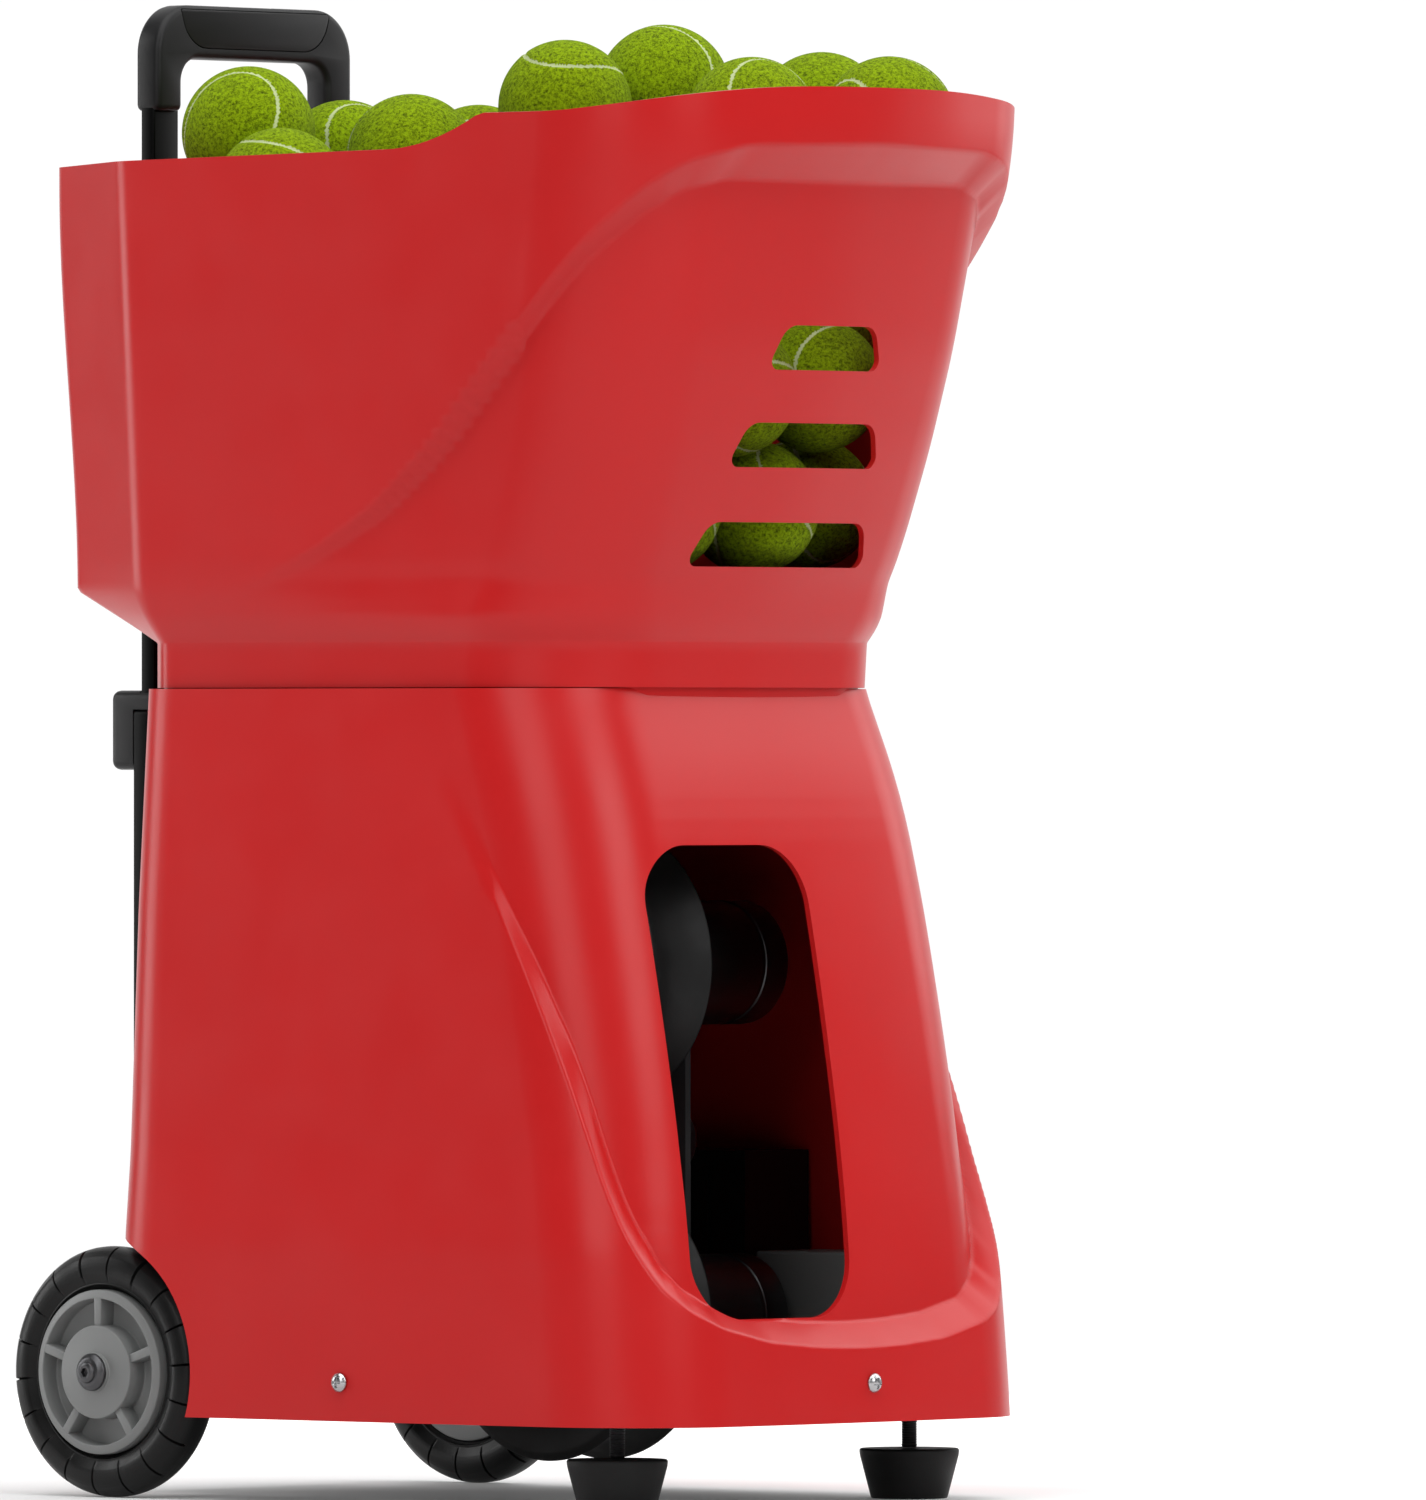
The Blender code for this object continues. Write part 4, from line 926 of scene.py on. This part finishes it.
def kept_inside(centres):
    """Hold ball centres inside the hopper: its sides, rear, front and two round corners."""
    z = centres[:, 2]
    side = np.interp(z, (0.455, 0.70), (0.103, 0.1195))
    front = np.interp(z, (0.475, 0.524, 0.572, 0.648), (0.268, 0.290, 0.303, 0.316))
    centres[:, 0] = np.clip(centres[:, 0], -side, side)
    centres[:, 1] = np.clip(centres[:, 1], 0.020, front)
    centres[:, 2] = np.clip(z, 0.494, None)
    round_x, round_y = side - 0.024, front - 0.024
    over_x = np.clip(np.abs(centres[:, 0]) - round_x, 0, None)
    over_y = np.clip(centres[:, 1] - round_y, 0, None)
    reach = np.hypot(over_x, over_y)
    share = np.where(reach > 0.024, 0.024 / np.maximum(reach, 1e-9), 1.0)
    moved = reach > 0.024
    centres[:, 0] = np.where(moved, np.sign(centres[:, 0]) * (round_x + over_x * share), centres[:, 0])
    centres[:, 1] = np.where(moved, round_y + over_y * share, centres[:, 1])


def ball_centres():
    """Balls dropped on a grid and pushed apart until they hardly touch, below the ones that show."""
    maker = random.Random(7)
    placed = [np.array(row) for row in TOP_BALLS + VENT_BALLS]
    for layer, (z, rows) in enumerate(((0.494, 4), (0.546, 4), (0.596, 5), (0.640, 5))):
        columns = 4 - layer % 2
        for i in range(columns):
            for j in range(rows):
                x = (i - (columns - 1) / 2) * 0.0690 + maker.uniform(-0.004, 0.004)
                d = 0.034 + 0.030 * (layer % 2) + j * 0.0675 + maker.uniform(-0.004, 0.004)
                placed.append(np.array((x, d, z)))
    centres = np.array(placed)
    ceiling = np.minimum(centres[:, 2] + 0.030, 0.650)
    fixed = len(TOP_BALLS) + len(VENT_BALLS)
    for _ in range(900):
        apart = centres[:, None] - centres[None]
        distance = np.maximum(np.linalg.norm(apart, axis=2), 1e-4) + np.eye(len(centres))
        overlap = np.clip(2 * BALL_RADIUS - distance, 0, None)
        push = (apart / distance[..., None] * overlap[..., None] * 0.30).sum(axis=1)
        push[:fixed] = 0.0
        centres += push
        centres[fixed:, 2] = np.minimum(centres[fixed:, 2] - 0.0002, ceiling[fixed:])
        kept_inside(centres[fixed:])
    kept = list(centres[:fixed])
    for centre in centres[fixed:]:
        if min(np.linalg.norm(centre - other) for other in kept) > 1.88 * BALL_RADIUS:
            kept.append(centre)
    return kept


def seam_distance(directions):
    """How far each unit direction lies from the curve that a tennis ball's seam follows."""
    t = np.linspace(0, 2 * math.pi, 720, endpoint=False)
    wide, narrow = 0.72, 0.28
    curve = np.stack([wide * np.cos(t) + narrow * np.cos(3 * t), wide * np.sin(t) - narrow * np.sin(3 * t),
                      2 * math.sqrt(wide * narrow) * np.sin(2 * t)], axis=1)
    curve /= np.linalg.norm(curve, axis=1, keepdims=True)
    return np.array([np.sqrt(np.min(((curve - d) ** 2).sum(axis=1))) for d in directions])


def ball_mesh():
    """A felt ball with a sunken seam; the seam's faces carry the second material."""
    work = bmesh.new()
    bmesh.ops.create_icosphere(work, subdivisions=6, radius=BALL_RADIUS)
    mesh = bpy.data.meshes.new("ball")
    work.to_mesh(mesh)
    work.free()
    points = np.array([v.co[:] for v in mesh.vertices])
    away = seam_distance(points / BALL_RADIUS) * BALL_RADIUS
    points *= (1 - 0.016 * ease(1 - away / 0.0020))[:, None]
    mesh.vertices.foreach_set("co", points.ravel())
    mesh.materials.append(felt("ball_felt", (0.185, 0.282, 0.002)))
    mesh.materials.append(rubber("ball_seam", (0.36, 0.42, 0.20), 0.8))
    corner_sets = [polygon.vertices[:] for polygon in mesh.polygons]
    mesh.polygons.foreach_set("material_index", [int(away[list(c)].mean() < 0.0009) for c in corner_sets])
    mesh.shade_smooth()
    return mesh


def loose_balls():
    maker = random.Random(11)
    mesh = ball_mesh()
    for i, (x, d, z) in enumerate(ball_centres()):
        ball = bpy.data.objects.new("loose_ball_%02d" % i, mesh)
        ball.location = (x, ahead(d), z)
        ball.rotation_euler = [maker.uniform(0, 2 * math.pi) for _ in range(3)]
        bpy.context.scene.collection.objects.link(ball)


# ---------------------------------------------------------------- camera, lights and floor


def look(azimuth):
    """Unit vector from the object towards a viewer at that azimuth; 0 stands in front."""
    a = math.radians(azimuth)
    return Vector((math.sin(a), -math.cos(a), 0.0))


def camera():
    data = bpy.data.cameras.new("camera")
    data.lens = 513.6
    data.sensor_width = 36.0
    data.sensor_height = 36.0
    data.clip_end = 60.0
    obj = bpy.data.objects.new("camera", data)
    obj.location = (-8.0421, -7.0545, 0.3735)
    obj.rotation_euler = (math.radians(90), 0, math.radians(VIEW_AZIMUTH))
    bpy.context.scene.collection.objects.link(obj)
    bpy.context.scene.camera = obj


# Name, azimuth, elevation, distance, width, height and power of each light.
LIGHTS = (
    ("top", -40, 78, 2.6, 3.0, 3.0, 86),
    ("left", -70, 24, 3.2, 1.3, 2.4, 28),
    ("right", 74, 32, 2.6, 1.2, 2.8, 26),
    ("front_right", 42, 33, 3.0, 1.5, 1.3, 17),
    ("front", -14, 24, 3.4, 1.3, 1.8, 35),
    ("rear_left", -153, 10, 2.6, 0.9, 2.4, 30),
)


def soft_light(name, azimuth, elevation, distance, width, height, energy):
    """A rectangular light that faces the object's middle and never shows in the picture."""
    data = bpy.data.lights.new(name, "AREA")
    data.shape = "RECTANGLE"
    data.size = width
    data.size_y = height
    data.energy = energy
    obj = bpy.data.objects.new(name, data)
    rise = math.radians(elevation)
    target = Vector((0.0, 0.0, 0.35))
    level = look(azimuth) * distance * math.cos(rise)
    obj.location = target + level + Vector((0, 0, distance * math.sin(rise)))
    obj.rotation_euler = (target - obj.location).to_track_quat("-Z", "Y").to_euler()
    obj.visible_camera = False
    bpy.context.scene.collection.objects.link(obj)


def stage_plane(name, width, height, material):
    work = bmesh.new()
    bmesh.ops.create_grid(work, x_segments=1, y_segments=1, size=0.5)
    mesh = bpy.data.meshes.new(name)
    work.to_mesh(mesh)
    work.free()
    mesh.materials.append(material)
    obj = bpy.data.objects.new(name, mesh)
    obj.scale = (width, height, 1)
    bpy.context.scene.collection.objects.link(obj)
    return obj


def whiten_far_floor(material, shader):
    """Let the floor fade to white behind the object."""
    links = material.node_tree.links
    where = add_node(material, "ShaderNodeNewGeometry")
    away = material.node_tree.nodes.new("ShaderNodeVectorMath")
    away.operation = "DOT_PRODUCT"
    away.inputs[1].default_value = look(VIEW_AZIMUTH) * -1
    fade = add_node(material, "ShaderNodeMapRange")
    fade.inputs["From Min"].default_value = 0.10
    fade.inputs["From Max"].default_value = 1.40
    fade.inputs["To Min"].default_value = 0.06
    fade.inputs["To Max"].default_value = 0.60
    links.new(where.outputs["Position"], away.inputs[0])
    links.new(away.outputs["Value"], fade.inputs["Value"])
    links.new(fade.outputs["Result"], shader.inputs["Emission Strength"])
    shader.inputs["Emission Color"].default_value = (1, 1, 1, 1)


def studio():
    """A white card behind, a pale floor below, and soft lights above and all round."""
    world = bpy.data.worlds.new("studio")
    world.use_nodes = True
    world.node_tree.nodes["Background"].inputs["Color"].default_value = (1, 1, 1, 1)
    world.node_tree.nodes["Background"].inputs["Strength"].default_value = 0.08
    bpy.context.scene.world = world
    floor, shader = new_material("pale_floor", (0.72, 0.72, 0.72), 0.8)
    whiten_far_floor(floor, shader)
    stage_plane("floor", 14.0, 14.0, floor)
    white, shader = new_material("white_card", (0.0, 0.0, 0.0), 1.0)
    shader.inputs["Emission Color"].default_value = (1, 1, 1, 1)
    shader.inputs["Emission Strength"].default_value = 1.0
    card = stage_plane("backdrop", 3.2, 4.0, white)
    card.location = look(VIEW_AZIMUTH) * -1.7 + Vector((0, 0, 1.9))
    card.rotation_euler = (math.radians(90), 0, math.radians(VIEW_AZIMUTH))
    for light in LIGHTS:
        soft_light(*light)


dress_cad_nodes()
lower_casing()
seam_lip()
hopper()
trolley_wheels()
feet()
screws()
handle()
rounded_blocks()
launch_wheels()
feeder_cap()
loose_balls()
camera()
studio()
bpy.context.scene.view_settings.view_transform = "Standard"
